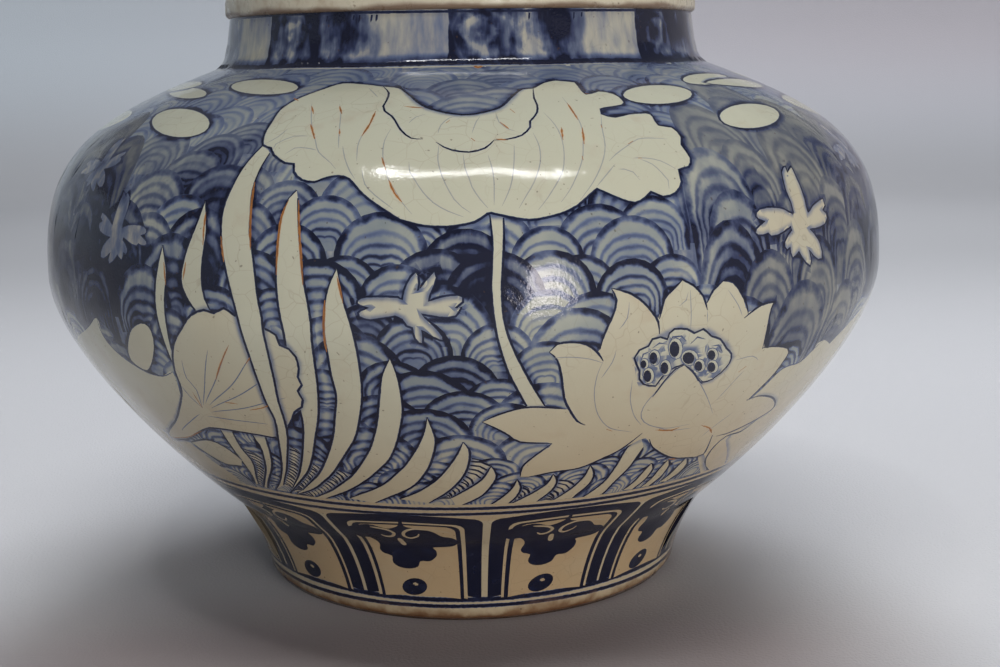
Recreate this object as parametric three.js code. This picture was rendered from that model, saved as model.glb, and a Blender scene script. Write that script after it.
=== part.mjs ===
// A wide blue-and-white porcelain storage jar, thrown in sections that are joined with slip.
//
// The whole outside is one turned profile, from the foot through the waist, the belly and the
// shoulder to the neck. Each section of the jar is a ring cut from that profile at a joint, and
// the inside is the same profile moved in by the wall. Units are millimetres, the jar's axis is
// +Z, and the origin is the centre of the foot's flat base.

import * as THREE from 'three';

// Radii of the outside
const FOOT_RADIUS = 103;
const WAIST_RADIUS = 122.5;
const BELLY_RADIUS = 200;
const NECK_ROOT_RADIUS = 119;
const NECK_TOP_RADIUS = 110.5;
const LIP_OVERHANG = 2;

// Heights of the stretches of the outside, from the base up
const FOOT_RISE = 43.5;
const LOWER_RISE = 109.5;
const UPPER_RISE = 92;
const NECK_RISE = 23.6;
const LIP_RISE = 11.4;

// Lean of the outside in degrees from upright, outwards positive, going up
const FOOT_LEAN = 0;
const WAIST_LEAN = 48.7;
const BELLY_LEAN = 0;
const SHOULDER_LEAN = -70;
const NECK_LEAN = -9;

// How far each curve keeps to its lean at either end
const FOOT_REACH = 12;
const WAIST_REACH_BELOW = 10;
const WAIST_REACH_ABOVE = 48;
const BELLY_REACH_BELOW = 27.5;
const BELLY_REACH_ABOVE = 51.5;
const SHOULDER_REACH = 67.5;
const NECK_ROOT_REACH = 7;
const NECK_TOP_REACH = 13;

// Thickness of the wall, square to its surface
const FOOT_WALL = 10.5;
const WAIST_WALL = 11;
const BELLY_WALL = 9;
const SHOULDER_WALL = 8.5;
const NECK_WALL = 9;

// Foot ring, the shallow recess inside it, and the floor that rests on its ledge
const FOOT_RING_WIDTH = 14;
const FOOT_OUTER_BEVEL = 2;
const FOOT_INNER_BEVEL = 1.2;
const RECESS_DEPTH = 9;
const FLOOR_THICKNESS = 11;
const FLOOR_DISH = 1.5;
const DISH_BEND_RADIUS_SHARE = 0.6;
const DISH_BEND_DEPTH_SHARE = 0.7;
const FLOOR_FLAT_EDGE = 14;

// Rolled lip
const LIP_LOWER_ROUND = 2.6;
const LIP_UPPER_ROUND = 4.2;
const LIP_INNER_ROUND = 3.2;

// Slip in the joints, and the bead that squeezes out of each one inside the jar
const SLIP_THICKNESS = 1.2;
const BEAD_SPREAD = 6;
const BEAD_PROUD = 2.2;
const FLOOR_BEAD_WIDTH = 8;
const FLOOR_BEAD_RISE = 9;
const FLOOR_BEAD_HOLLOW = 2;
const SEAT_GAP = 0.3;

// Facets
const ROUND_SIDES = 56;
const FOOT_STEPS = 6;
const LOWER_STEPS = 9;
const UPPER_STEPS = 11;
const NECK_STEPS = 6;
const ROUND_STEPS = 3;
const BEAD_STEPS = 4;
const SHORTEST_STEP = 0.4;

const waistHeight = FOOT_RISE;
const bellyHeight = waistHeight + LOWER_RISE;
const neckRootHeight = bellyHeight + UPPER_RISE;
const neckTopHeight = neckRootHeight + NECK_RISE;
const mouthHeight = neckTopHeight + LIP_RISE;
const floorTop = RECESS_DEPTH + FLOOR_THICKNESS;

const point = (radius, height) => new THREE.Vector2(radius, height);

// The direction of a surface that leans by an angle from upright.
function leaning(degrees) {
  const angle = THREE.MathUtils.degToRad(degrees);
  return point(Math.sin(angle), Math.cos(angle));
}

// One stretch of the outside: a cubic curve that leaves and arrives at stated leans.
function stretch(start, end) {
  return new THREE.CubicBezierCurve(
    start.at,
    start.at.clone().addScaledVector(leaning(start.lean), start.reach),
    end.at.clone().addScaledVector(leaning(end.lean), -end.reach),
    end.at,
  );
}

// The outside from the base to the top of the neck, with the wall's thickness at both ends.
const stretches = [
  {
    curve: stretch(
      { at: point(FOOT_RADIUS, 0), lean: FOOT_LEAN, reach: FOOT_REACH },
      { at: point(WAIST_RADIUS, waistHeight), lean: WAIST_LEAN, reach: WAIST_REACH_BELOW },
    ),
    steps: FOOT_STEPS,
    walls: [FOOT_WALL, WAIST_WALL],
  },
  {
    curve: stretch(
      { at: point(WAIST_RADIUS, waistHeight), lean: WAIST_LEAN, reach: WAIST_REACH_ABOVE },
      { at: point(BELLY_RADIUS, bellyHeight), lean: BELLY_LEAN, reach: BELLY_REACH_BELOW },
    ),
    steps: LOWER_STEPS,
    walls: [WAIST_WALL, BELLY_WALL],
  },
  {
    curve: stretch(
      { at: point(BELLY_RADIUS, bellyHeight), lean: BELLY_LEAN, reach: BELLY_REACH_ABOVE },
      { at: point(NECK_ROOT_RADIUS, neckRootHeight), lean: SHOULDER_LEAN, reach: SHOULDER_REACH },
    ),
    steps: UPPER_STEPS,
    walls: [BELLY_WALL, SHOULDER_WALL],
  },
  {
    curve: stretch(
      { at: point(NECK_ROOT_RADIUS, neckRootHeight), lean: SHOULDER_LEAN, reach: NECK_ROOT_REACH },
      { at: point(NECK_TOP_RADIUS, neckTopHeight), lean: NECK_LEAN, reach: NECK_TOP_REACH },
    ),
    steps: NECK_STEPS,
    walls: [SHOULDER_WALL, NECK_WALL],
  },
];

// The outside and the inside as two lines of points that rise together.
const outside = [];
const inside = [];
stretches.forEach(({ curve, steps, walls }, index) => {
  for (let step = index === 0 ? 0 : 1; step <= steps; step += 1) {
    const share = step / steps;
    const skin = curve.getPoint(share);
    const along = curve.getTangent(share);
    const wall = THREE.MathUtils.lerp(walls[0], walls[1], share);
    outside.push(skin);
    inside.push(point(skin.x - along.y * wall, skin.y + along.x * wall));
  }
});

// The radius of a line of points at a height, carried on straight past either end.
function radiusAt(line, height) {
  const passed = line.slice(1, -1).filter((place) => place.y < height).length;
  const above = passed + 1;
  const low = line[above - 1];
  const high = line[above];
  const share = (height - low.y) / (high.y - low.y);
  return THREE.MathUtils.lerp(low.x, high.x, share);
}

// The part of a line of points between two heights, with its ends exactly at them.
function between(line, bottom, top) {
  const middle = line.filter(({ y }) => y > bottom + SHORTEST_STEP && y < top - SHORTEST_STEP);
  return [point(radiusAt(line, bottom), bottom), ...middle, point(radiusAt(line, top), top)];
}

// A quarter round in an outline, from one point to the next about a corner.
function roundCorner(from, corner, to) {
  const curve = new THREE.QuadraticBezierCurve(from, corner, to);
  return curve.getPoints(ROUND_STEPS);
}

// A closed ring or disc turned from an outline that runs up the outside and down the inside.
function turned(name, outline, material) {
  const first = outline[0];
  const onAxis = first.x === 0;
  const profile = onAxis ? outline : [...outline, first.clone()];
  const mesh = new THREE.Mesh(new THREE.LatheGeometry(profile, ROUND_SIDES), material);
  mesh.name = name;
  return mesh;
}

// Foot section: the bevelled foot ring, its ledge, and the wall up to the waist.
function footSection(material) {
  const top = waistHeight - SLIP_THICKNESS / 2;
  const ringInner = FOOT_RADIUS - FOOT_RING_WIDTH;
  return turned('foot_section', [
    point(ringInner + FOOT_INNER_BEVEL, 0),
    point(FOOT_RADIUS - FOOT_OUTER_BEVEL, 0),
    ...between(outside, FOOT_OUTER_BEVEL, top),
    ...between(inside, RECESS_DEPTH, top).reverse(),
    point(ringInner, RECESS_DEPTH),
    point(ringInner, FOOT_INNER_BEVEL),
  ], material);
}

// Floor: a thrown disc, a little dished, that rests on the ledge inside the foot section.
const floorRadius = radiusAt(inside, RECESS_DEPTH) - SEAT_GAP;

function baseDisc(material) {
  const dishEdge = floorRadius - FLOOR_FLAT_EDGE;
  return turned('base_disc', [
    point(0, RECESS_DEPTH),
    point(floorRadius, RECESS_DEPTH),
    point(floorRadius, floorTop),
    point(dishEdge, floorTop),
    point(dishEdge * DISH_BEND_RADIUS_SHARE, floorTop - FLOOR_DISH * DISH_BEND_DEPTH_SHARE),
    point(0, floorTop - FLOOR_DISH),
  ], material);
}

// A wall section between two joints, with half of the slip's thickness left free at each.
function wallSection(name, lowerJoint, upperJoint, material) {
  const bottom = lowerJoint + SLIP_THICKNESS / 2;
  const top = upperJoint - SLIP_THICKNESS / 2;
  return turned(name, [
    ...between(outside, bottom, top),
    ...between(inside, bottom, top).reverse(),
  ], material);
}

// Neck: a short collar, with a small round where it spreads on to the shoulder.
function neckCollar(material) {
  const bottom = neckRootHeight + SLIP_THICKNESS / 2;
  return turned('neck_collar', [
    ...between(outside, bottom, neckTopHeight),
    ...between(inside, bottom, neckTopHeight).reverse(),
  ], material);
}

// Lip: a coil rolled on to the top of the neck, full outside and flat on top.
function mouthRim(material) {
  const inner = radiusAt(inside, neckTopHeight);
  const outer = NECK_TOP_RADIUS + LIP_OVERHANG;
  return turned('mouth_rim', [
    point(inner, neckTopHeight),
    ...roundCorner(
      point(outer - LIP_LOWER_ROUND, neckTopHeight),
      point(outer, neckTopHeight),
      point(outer, neckTopHeight + LIP_LOWER_ROUND),
    ),
    ...roundCorner(
      point(outer, mouthHeight - LIP_UPPER_ROUND),
      point(outer, mouthHeight),
      point(outer - LIP_UPPER_ROUND, mouthHeight),
    ),
    ...roundCorner(
      point(inner + LIP_INNER_ROUND, mouthHeight),
      point(inner, mouthHeight),
      point(inner, mouthHeight - LIP_INNER_ROUND),
    ),
  ], material);
}

// Slip in a flat joint: a thin washer through the wall, with a soft bead along the inside.
function jointSlip(name, joint, material) {
  const bottom = joint - SLIP_THICKNESS / 2;
  const top = joint + SLIP_THICKNESS / 2;
  const skin = (height) => point(radiusAt(inside, height) - SEAT_GAP, height);
  const bead = [];
  for (let step = 1; step < BEAD_STEPS; step += 1) {
    const share = step / BEAD_STEPS;
    const height = THREE.MathUtils.lerp(top + BEAD_SPREAD, bottom - BEAD_SPREAD, share);
    const proud = BEAD_PROUD * Math.sin(Math.PI * share);
    bead.push(skin(height).sub(point(proud, 0)));
  }
  return turned(name, [
    point(radiusAt(outside, bottom), bottom),
    point(radiusAt(outside, top), top),
    skin(top),
    ...between(inside, top, top + BEAD_SPREAD).slice(1).map(({ y }) => skin(y)),
    ...bead,
    ...between(inside, bottom - BEAD_SPREAD, bottom).slice(0, -1).map(({ y }) => skin(y)),
    skin(bottom),
  ], material);
}

// Slip in the corner between the floor and the wall, hollowed by the potter's finger.
function floorSlip(material) {
  const corner = point(radiusAt(inside, floorTop) - SEAT_GAP, floorTop);
  const toe = point(floorRadius - FLOOR_BEAD_WIDTH, floorTop);
  const height = floorTop + FLOOR_BEAD_RISE;
  const crest = point(radiusAt(inside, height) - SEAT_GAP, height);
  const pull = point(corner.x - FLOOR_BEAD_HOLLOW, floorTop + FLOOR_BEAD_HOLLOW);
  const hollow = new THREE.QuadraticBezierCurve(crest, pull, toe);
  return turned('floor_slip', [corner, ...hollow.getPoints(BEAD_STEPS)], material);
}

// Materials: clear glaze over cobalt painting, the bare body at foot and lip, and fired slip.
const glazed = new THREE.MeshStandardMaterial({ color: 0x9a9f9c, roughness: 0.22, metalness: 0 });
const painted = new THREE.MeshStandardMaterial({ color: 0x6f7890, roughness: 0.2, metalness: 0 });
const bare = new THREE.MeshStandardMaterial({ color: 0xa4805c, roughness: 0.8, metalness: 0 });
const lipGlaze = new THREE.MeshStandardMaterial({ color: 0xb5a58f, roughness: 0.4, metalness: 0 });
const slip = new THREE.MeshStandardMaterial({ color: 0xa79f92, roughness: 0.6, metalness: 0 });

const jar = new THREE.Group();
jar.add(
  footSection(glazed),
  baseDisc(bare),
  wallSection('lower_body', waistHeight, bellyHeight, painted),
  wallSection('upper_body', bellyHeight, neckRootHeight, painted),
  neckCollar(glazed),
  mouthRim(lipGlaze),
  floorSlip(slip),
  jointSlip('waist_slip', waistHeight, slip),
  jointSlip('belly_slip', bellyHeight, slip),
  jointSlip('neck_slip', neckRootHeight, slip),
);

// A lathe turns about Y, and the jar stands on Z.
jar.rotation.x = Math.PI / 2;

const model = new THREE.Group();
model.add(jar);

export default model;
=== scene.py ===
"""A wide porcelain jar, thrown in sections and painted in cobalt under the glaze."""
import math

import bmesh
import bpy
import numpy as np
from mathutils import Matrix, Vector
from mathutils.geometry import delaunay_2d_cdt


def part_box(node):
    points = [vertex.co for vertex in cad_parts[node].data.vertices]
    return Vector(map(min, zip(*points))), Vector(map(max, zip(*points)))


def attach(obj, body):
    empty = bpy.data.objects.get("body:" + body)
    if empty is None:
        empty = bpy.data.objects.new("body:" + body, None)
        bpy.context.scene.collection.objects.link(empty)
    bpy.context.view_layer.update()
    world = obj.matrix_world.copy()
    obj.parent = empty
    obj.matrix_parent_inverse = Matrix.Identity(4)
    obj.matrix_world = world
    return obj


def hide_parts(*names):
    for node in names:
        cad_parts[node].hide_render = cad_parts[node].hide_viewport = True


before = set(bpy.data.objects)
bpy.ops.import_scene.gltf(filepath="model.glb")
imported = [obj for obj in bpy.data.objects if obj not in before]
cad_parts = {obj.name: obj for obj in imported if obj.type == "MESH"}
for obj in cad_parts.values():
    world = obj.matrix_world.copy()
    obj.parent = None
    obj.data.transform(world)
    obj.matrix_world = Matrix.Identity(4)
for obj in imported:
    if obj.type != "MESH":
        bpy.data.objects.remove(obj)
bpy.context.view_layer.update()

MM = 0.001

# Camera
# The picture is taken from a little above the shoulder, close to the jar.
# Its place in metres, its angles in radians and its focal length in pixels come from the jar's
# outline in the picture.
CAMERA_PLACE = np.array((0.01628, -0.720, 0.24761))
CAMERA_DIP = 0.1861
CAMERA_ROLL = -0.0165
FOCAL_PIXELS = 1451.06
PICTURE_WIDTH, PICTURE_HEIGHT = 1000, 667
SENSOR = 36.0

camera_data = bpy.data.cameras.new("camera")
camera_data.sensor_width = SENSOR
camera_data.lens = SENSOR * FOCAL_PIXELS / PICTURE_WIDTH
camera_data.clip_start = 0.01
camera = bpy.data.objects.new("camera", camera_data)
bpy.context.scene.collection.objects.link(camera)
camera.matrix_world = (
    Matrix.Translation(CAMERA_PLACE)
    @ Matrix.Rotation(math.pi / 2 - CAMERA_DIP, 4, "X")
    @ Matrix.Rotation(CAMERA_ROLL, 4, "Z")
)
bpy.context.scene.camera = camera
bpy.context.scene.view_settings.view_transform = "Standard"


def sight_lines(pixels):
    """Directions from the camera through points of the picture."""
    turn = np.array(camera.matrix_world.to_3x3())
    x = (pixels[:, 0] - PICTURE_WIDTH / 2) / FOCAL_PIXELS
    y = (PICTURE_HEIGHT / 2 - pixels[:, 1]) / FOCAL_PIXELS
    return np.stack([x, y, -np.ones(len(x))], 1) @ turn.T


# Wall outline
# The jar is thrown as one flowing line: a tapering foot, a wide belly, a flat shoulder and a
# short neck. The sections meet at the waist, at the widest line and at the root of the neck.
# Radii are in mm. A stretch is its lean from upright in degrees and its reach in mm at its start
# and at its end, and its number of steps.
FOOT_RADIUS, WAIST_RADIUS, BELLY_RADIUS = 103.0, 122.5, 200.0
NECK_ROOT_RADIUS, NECK_TOP_RADIUS = 119.0, 110.5
WAIST_LEAN, SHOULDER_LEAN, NECK_LEAN = 48.7, -70.0, -9.0
STRETCHES = (
    (0, 12, WAIST_LEAN, 10, 60), (WAIST_LEAN, 48, 0, 27.5, 160),
    (0, 51.5, SHOULDER_LEAN, 67.5, 180), (SHOULDER_LEAN, 7, NECK_LEAN, 13, 60),
)
FOOT_BEVEL, BEVEL_STEPS = ((101.0, 0.0), (102.2, 0.4), (102.9, 1.1)), 5
SIGHT_DEPTHS = np.linspace(0.4, 0.9, 1001)[:, None, None]
THROWN_WOBBLE = 0.3 * MM

waist_height = (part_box("foot_section")[1][2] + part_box("lower_body")[0][2]) / 2 / MM
belly_height = (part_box("lower_body")[1][2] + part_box("upper_body")[0][2]) / 2 / MM
neck_height = (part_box("upper_body")[1][2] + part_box("neck_collar")[0][2]) / 2 / MM
lip_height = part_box("mouth_rim")[0][2] / MM


def stretch(start, end, lean, reach, end_lean, end_reach, steps):
    """A smooth line that leaves start and reaches end at the given leans from upright."""
    lean, end_lean = math.radians(lean), math.radians(end_lean)
    a, d = np.array(start), np.array(end)
    b = a + reach * np.array((math.sin(lean), math.cos(lean)))
    c = d - end_reach * np.array((math.sin(end_lean), math.cos(end_lean)))
    t = np.linspace(0, 1, steps, endpoint=False)[:, None]
    return (1 - t) ** 3 * a + 3 * (1 - t) ** 2 * t * b + 3 * (1 - t) * t * t * c + t**3 * d


turning_points = (
    (FOOT_RADIUS, 0), (WAIST_RADIUS, waist_height), (BELLY_RADIUS, belly_height),
    (NECK_ROOT_RADIUS, neck_height), (NECK_TOP_RADIUS, lip_height),
)
foot_line, *wall_lines = [
    stretch(start, end, *shape)
    for start, end, shape in zip(turning_points, turning_points[1:], STRETCHES)]
outline = np.concatenate(
    [FOOT_BEVEL, foot_line[BEVEL_STEPS:], *wall_lines, turning_points[-1:]]) * MM
steps_up = np.hypot(*np.diff(outline, axis=0).T)
run_up = np.concatenate([[0], np.cumsum(steps_up)])
middle_radius = (outline[1:, 0] + outline[:-1, 0]) / 2
depth_in = np.concatenate([[0], np.cumsum(steps_up / middle_radius)])


def run_at_height(height):
    return float(np.interp(height * MM, outline[:, 1], run_up))


def surface(angle, run):
    """Points of the outside at an angle round the jar and a run up its outline."""
    radius = np.interp(run, run_up, outline[:, 0])
    height = np.interp(run, run_up, outline[:, 1])
    share = height / outline[-1, 1]
    fade = np.clip(np.minimum(share, 1 - share) * 8, 0, 1)
    wave = np.sin(2 * angle + 0.6 + 2 * share) + 0.5 * np.sin(5 * angle + 2 + 7 * share)
    radius = radius + THROWN_WOBBLE * wave * fade
    return np.stack([radius * np.sin(angle), -radius * np.cos(angle), height], -1)


# The painting is laid out flat: the wall is unrolled into a ring that keeps every shape, with
# the foot on its outside and the neck on its inside. Points of it are complex numbers.
def flat(angle, run):
    return np.exp(-np.interp(run, run_up, depth_in) + 1j * (angle - math.pi / 2))


def unflat(points):
    """Angle and run of points on the flat ring."""
    run = np.interp(-np.log(np.abs(points)), depth_in, run_up)
    return np.angle(points * 1j), run


def metres_per_unit(points):
    run = unflat(points)[1]
    return np.interp(run, run_up, outline[:, 0]) / np.abs(points)


def traced(pixels):
    """Points of the picture, cast on the wall and laid on the flat ring."""
    rays = sight_lines(np.array(pixels, float))
    spots = CAMERA_PLACE + SIGHT_DEPTHS * rays
    wall_radius = np.interp(spots[..., 2], outline[:, 1], outline[:, 0])
    gap = np.hypot(spots[..., 0], spots[..., 1]) - wall_radius
    hit = np.argmax(gap < 0, axis=0)
    row = np.arange(len(rays))
    missed = ~(gap < 0).any(axis=0)
    hit[missed] = np.argmin(gap[:, missed], axis=0)
    last = np.maximum(hit - 1, 0)
    share = np.clip(gap[last, row] / (gap[last, row] - gap[hit, row] + 1e-12), 0, 1)
    share[missed] = 0
    spot = spots[last, row] + share[:, None] * (spots[hit, row] - spots[last, row])
    run = np.interp(spot[:, 2], outline[:, 1], run_up)
    return flat(np.arctan2(spot[:, 0], -spot[:, 1]), run)


def smooth(points, closed=False, step=3.0):
    """A curve through points of the flat ring, with points about step mm apart."""
    count = len(points)
    made = []
    for i in range(count if closed else count - 1):
        b, c = points[i], points[(i + 1) % count]
        a = points[i - 1] if closed or i else 2 * b - c
        d = points[(i + 2) % count] if closed or i + 2 < count else 2 * c - b
        length = abs(c - b) * metres_per_unit(b) / MM
        parts = max(1, round(length / step))
        t = np.arange(parts) / parts
        made.append(0.5 * (2 * b + (c - a) * t + (2 * a - 5 * b + 4 * c - d) * t * t
                           + (3 * b - a - 3 * c + d) * t**3))
    if not closed:
        made.append(points[-1:])
    return np.concatenate(made)


# Painter
# The picture is put down as a painter does, each thing over what lies behind it: areas of
# ground or waves, ink strokes, the haze where the blue has bled from them, and rust stains. A
# stroke is a chain of short quads. Each shape keeps its place in its fan or across its stroke.
# Sizes are in mm. Washes, strengths and fades go from 0 to 1, and a tone turns the glaze tan.
LARGE_AREA, TALL_WAVE = 0.12, 1.25
SHORT_LEGS, LONG_LEGS, ARCH_POINTS = 0.4, 1.3, 14


class Painter:
    """The shapes of the painting on the flat ring, each over those before it."""

    def __init__(self):
        self.shapes = []

    def area(self, points, wash=0.0, tone=0.0):
        self.shapes.append((points, ("area", wash, tone)))

    def fan(self, centre, radius, seed, mood):
        """A wave of nested arches: a half circle on two short legs, drawn out upward."""
        wash, fade, tall = mood
        legs = SHORT_LEGS if tall < TALL_WAVE else LONG_LEGS
        turn = np.linspace(0, math.pi, ARCH_POINTS)
        upward = -centre / abs(centre)
        unit = radius * MM / metres_per_unit(centre)
        arch = tall * np.sin(turn) - 1j * np.cos(turn)
        arch = np.concatenate([[-1j - legs], arch, [1j - legs]])
        ring = centre + unit * upward * arch
        self.shapes.append((ring, ("fan", centre, unit * upward, seed, wash, fade, tall)))

    def stroke(self, line, width, strength=1.0, kind="ink", ends=(1.0, 1.0)):
        """A brush stroke along a line of the flat ring. ends are its widths at the ends."""
        if len(line) < 2:
            return
        way = np.gradient(line)
        way /= np.abs(way) + 1e-12
        along = np.linspace(0, 1, len(line))
        swell = np.minimum(1, np.minimum(ends[0] + 4 * along, ends[1] + 4 * (1 - along)))
        if np.ndim(width):
            width = np.interp(along, np.linspace(0, 1, len(width)), width)
        half = swell * width * MM / 2 / metres_per_unit(line)
        left, right = line + 1j * way * half, line - 1j * way * half
        for i in range(len(line) - 1):
            quad = np.array((right[i], right[i + 1], left[i + 1], left[i]))
            if signed_area(quad) > 1e-12:
                facts = (kind, line[i], line[i + 1], half[i], half[i + 1], strength, i)
                self.shapes.append((quad, facts))

    def drop_hidden(self):
        """Leaves out the shapes that lie wholly behind a larger area."""
        keep = np.ones(len(self.shapes), bool)
        starts = np.cumsum([0] + [len(ring) for ring, _ in self.shapes])
        every = np.concatenate([ring for ring, _ in self.shapes])
        for i, (ring, facts) in enumerate(self.shapes):
            if facts[0] != "area" or np.abs(ring - ring.mean()).max() < LARGE_AREA * abs(ring[0]):
                continue
            before = every[: starts[i]]
            inside = np.zeros(len(before), bool)
            for a, b in zip(ring, np.roll(ring, -1)):
                if a.imag != b.imag:
                    spans = (a.imag > before.imag) != (b.imag > before.imag)
                    crossing = a.real + (before.imag - a.imag) * (b.real - a.real) / (b.imag - a.imag)
                    inside ^= spans & (before.real < crossing)
            hidden = np.logical_and.reduceat(inside, starts[:i]) if i else np.zeros(0, bool)
            keep[:i] &= ~hidden
        self.shapes = [shape for shape, kept in zip(self.shapes, keep) if kept]


def signed_area(points):
    after = np.roll(points, -1)
    return float(np.sum(points.real * after.imag - after.real * points.imag) / 2)


painter = Painter()

# Wave ground
# The whole belly and shoulder are covered with waves like fish scales, and each lower one
# stands in front of those above it. Their places in front follow the picture, and so do their
# moods: a place and its reach in mm, and how dark, how faded and how tall the waves are there.
POND_TURNS = (0, 120, 240)
WAVE_RADIUS, WAVE_PITCH, WAVE_ROW = 17.0, 33.0, 11.0
WAVE_LEAST, WAVE_VARIES, WAVE_APART = 0.78, 0.36, 0.62
WAVE_SHIFT, WAVE_LIFT = 0.3, 5
WAVES_FROM, WAVES_TO = 68, 243
LOW_WAVES_BELOW, LOW_WAVE = 90, 0.72
FRONT_WAVES = (
    (325, 235, 15), (381, 262, 18), (489, 258, 18), (600, 250, 17), (344, 296, 14.5),
    (436, 300, 18), (552, 298, 17), (632, 300, 15), (672, 292, 14), (595, 335, 16),
    (365, 340, 13), (455, 395, 17), (395, 395, 15), (545, 375, 14), (505, 430, 14),
    (470, 118, 19), (240, 200, 15), (655, 235, 15), (725, 215, 17), (742, 262, 16),
)
WAVE_MOODS = (
    (88, 262, 36, 1.0, 0.1, 1.3), (72, 210, 26, 0.9, 0.1, 1.3), (215, 175, 20, 0.75, 0, 1.0),
    (282, 172, 14, 0.6, 0, 1.0), (470, 98, 20, 0.4, 0, 1.0), (468, 292, 12, 0.8, 0, 1.0),
    (725, 180, 30, 0.55, 0, 1.7), (740, 235, 26, 0.5, 0.1, 1.7), (855, 215, 46, 0.5, 0.6, 1.7),
    (140, 190, 30, 0.6, 0.1, 1.0), (455, 385, 14, 0.35, 0, 1.0), (360, 340, 14, 0.4, 0, 1.0),
    (800, 285, 30, 0.4, 0.55, 1.5), (160, 300, 26, 0.55, 0, 1.2), (245, 240, 20, 0.4, 0, 1.0),
    (790, 170, 38, 0.35, 0.45, 1.8), (830, 320, 30, 0.4, 0.6, 1.4), (110, 330, 26, 0.6, 0.2, 1.2),
)
rng = np.random.default_rng(7)


def mood_at(place):
    """How dark, how faded and how tall the waves are at a place."""
    mood = (0.0, 0.0, 1.0)
    for spot, (_, _, reach, *here) in zip(mood_spots, WAVE_MOODS):
        for degrees in POND_TURNS:
            away = abs(place - spot * np.exp(1j * math.radians(degrees)))
            if away * metres_per_unit(place) < reach * MM:
                mood = tuple(map(max, mood, here))
    return mood


def wave_places():
    """Centres, sizes, seeds and moods of all waves, the highest first."""
    found = []
    front = traced([place[:2] for place in FRONT_WAVES])
    for centre, place in zip(front, FRONT_WAVES):
        found.append((centre, place[2], rng.random(), mood_at(centre)))
    run = run_at_height(WAVES_TO)
    row = 0
    while run > run_at_height(WAVES_FROM):
        around = math.tau * np.interp(run, run_up, outline[:, 0]) / MM
        low = run < run_at_height(LOW_WAVES_BELOW)
        share = LOW_WAVE if low else 1
        count = round(around / WAVE_PITCH / share)
        for i in range(count):
            angle = math.tau * (i + WAVE_SHIFT * (rng.random() - 0.5)) / count
            tall = mood_at(flat(angle, run))[2] > TALL_WAVE
            angle += math.pi * ((row // 2 if tall else row) % 2) / count
            place = flat(angle, run + WAVE_LIFT * share * MM * (rng.random() - 0.5))
            size = WAVE_RADIUS * share * (WAVE_LEAST + WAVE_VARIES * rng.random())
            near = np.abs(front - place) * metres_per_unit(place) / MM
            seed = rng.random()
            if near.min() > WAVE_APART * WAVE_RADIUS and not (tall and row % 2):
                found.append((place, size, seed, mood_at(place)))
        run -= WAVE_ROW * share * MM
        row += 1
    return sorted(found, key=lambda one: abs(one[0]))


mood_spots = traced([place[:2] for place in WAVE_MOODS])
for centre, size, seed, mood in wave_places():
    painter.fan(centre, size, seed, mood)

# Pond picture
# A lotus pond stands on the waves three times round the jar: a great leaf seen from its side,
# water weeds, floating pads, blossoms, a small folded leaf and an open lotus with its seed pod.
# Outlines are points of the picture. Pads and seeds are a middle and two half widths, and a far
# blossom is its place, its size, below nought when it is mirrored, and its lean in degrees.
BARE_LEFT = (
    (97, 318), (103, 335), (113, 348), (127, 360), (147, 372), (163, 376), (173, 372),
    (182, 400), (185, 425), (170, 437), (188, 442), (214, 462), (240, 482), (225, 488),
    (193, 464), (150, 428), (110, 391), (84, 355), (86, 330),
)
BARE_RIGHT = (
    (705, 445), (725, 425), (747, 401), (761, 389), (782, 369), (800, 362), (814, 349),
    (824, 340), (834, 354), (850, 345), (842, 360), (800, 410), (760, 447), (726, 474),
    (704, 480), (698, 462),
)
PADS = (
    (181, 123, 30, 15), (265, 87, 35, 8), (188, 93, 20, 6),
    (658, 94.5, 36, 10), (750, 116, 31, 13), (706, 79, 24, 6),
)
LEAF = (
    (263, 145), (265, 133), (273, 120), (280, 110), (297, 99), (323, 89), (343, 83),
    (366, 84), (383, 86), (400, 88), (411, 96), (421, 104), (432, 109), (449, 113),
    (469, 114.5), (492, 110), (503, 105), (512, 96), (522, 89), (533, 88), (542, 83),
    (555, 80), (566, 81), (575, 82), (586, 94), (598, 91), (615, 94), (625, 103), (617, 106),
    (601, 109), (602, 114), (615, 117), (628, 114), (640, 113), (651, 114), (659, 125),
    (672, 127), (682, 137), (682, 145), (691, 158), (689, 167), (679, 170), (682, 182),
    (676, 193), (663, 197), (651, 192), (645, 198), (635, 203), (620, 199), (606, 193),
    (597, 189), (592, 193), (577, 206), (560, 214), (532, 220), (509, 217), (491, 213),
    (487, 214), (475, 222), (455, 226), (440, 227), (424, 226), (411, 223), (400, 220),
    (367, 198), (349, 179), (338, 176), (326, 178), (315, 182), (302, 180), (294, 172),
    (294, 164), (285, 163), (274, 155), (271, 148),
)
LEAF_LIP = LEAF[9:20]
LEAF_FOLDS = (
    ((383, 86), (389, 93), (386, 102), (383.5, 106), (385, 111), (389, 114), (392, 116),
     (395, 120), (401, 130), (411, 138), (423, 139)),
    ((436, 142), (444, 147), (452, 150), (469, 152), (485, 148), (494, 140)),
    ((494, 140), (508, 139), (522, 135), (530, 127), (530, 121), (533, 118), (537, 112),
     (537, 105), (534, 98), (533, 88)),
)
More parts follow.
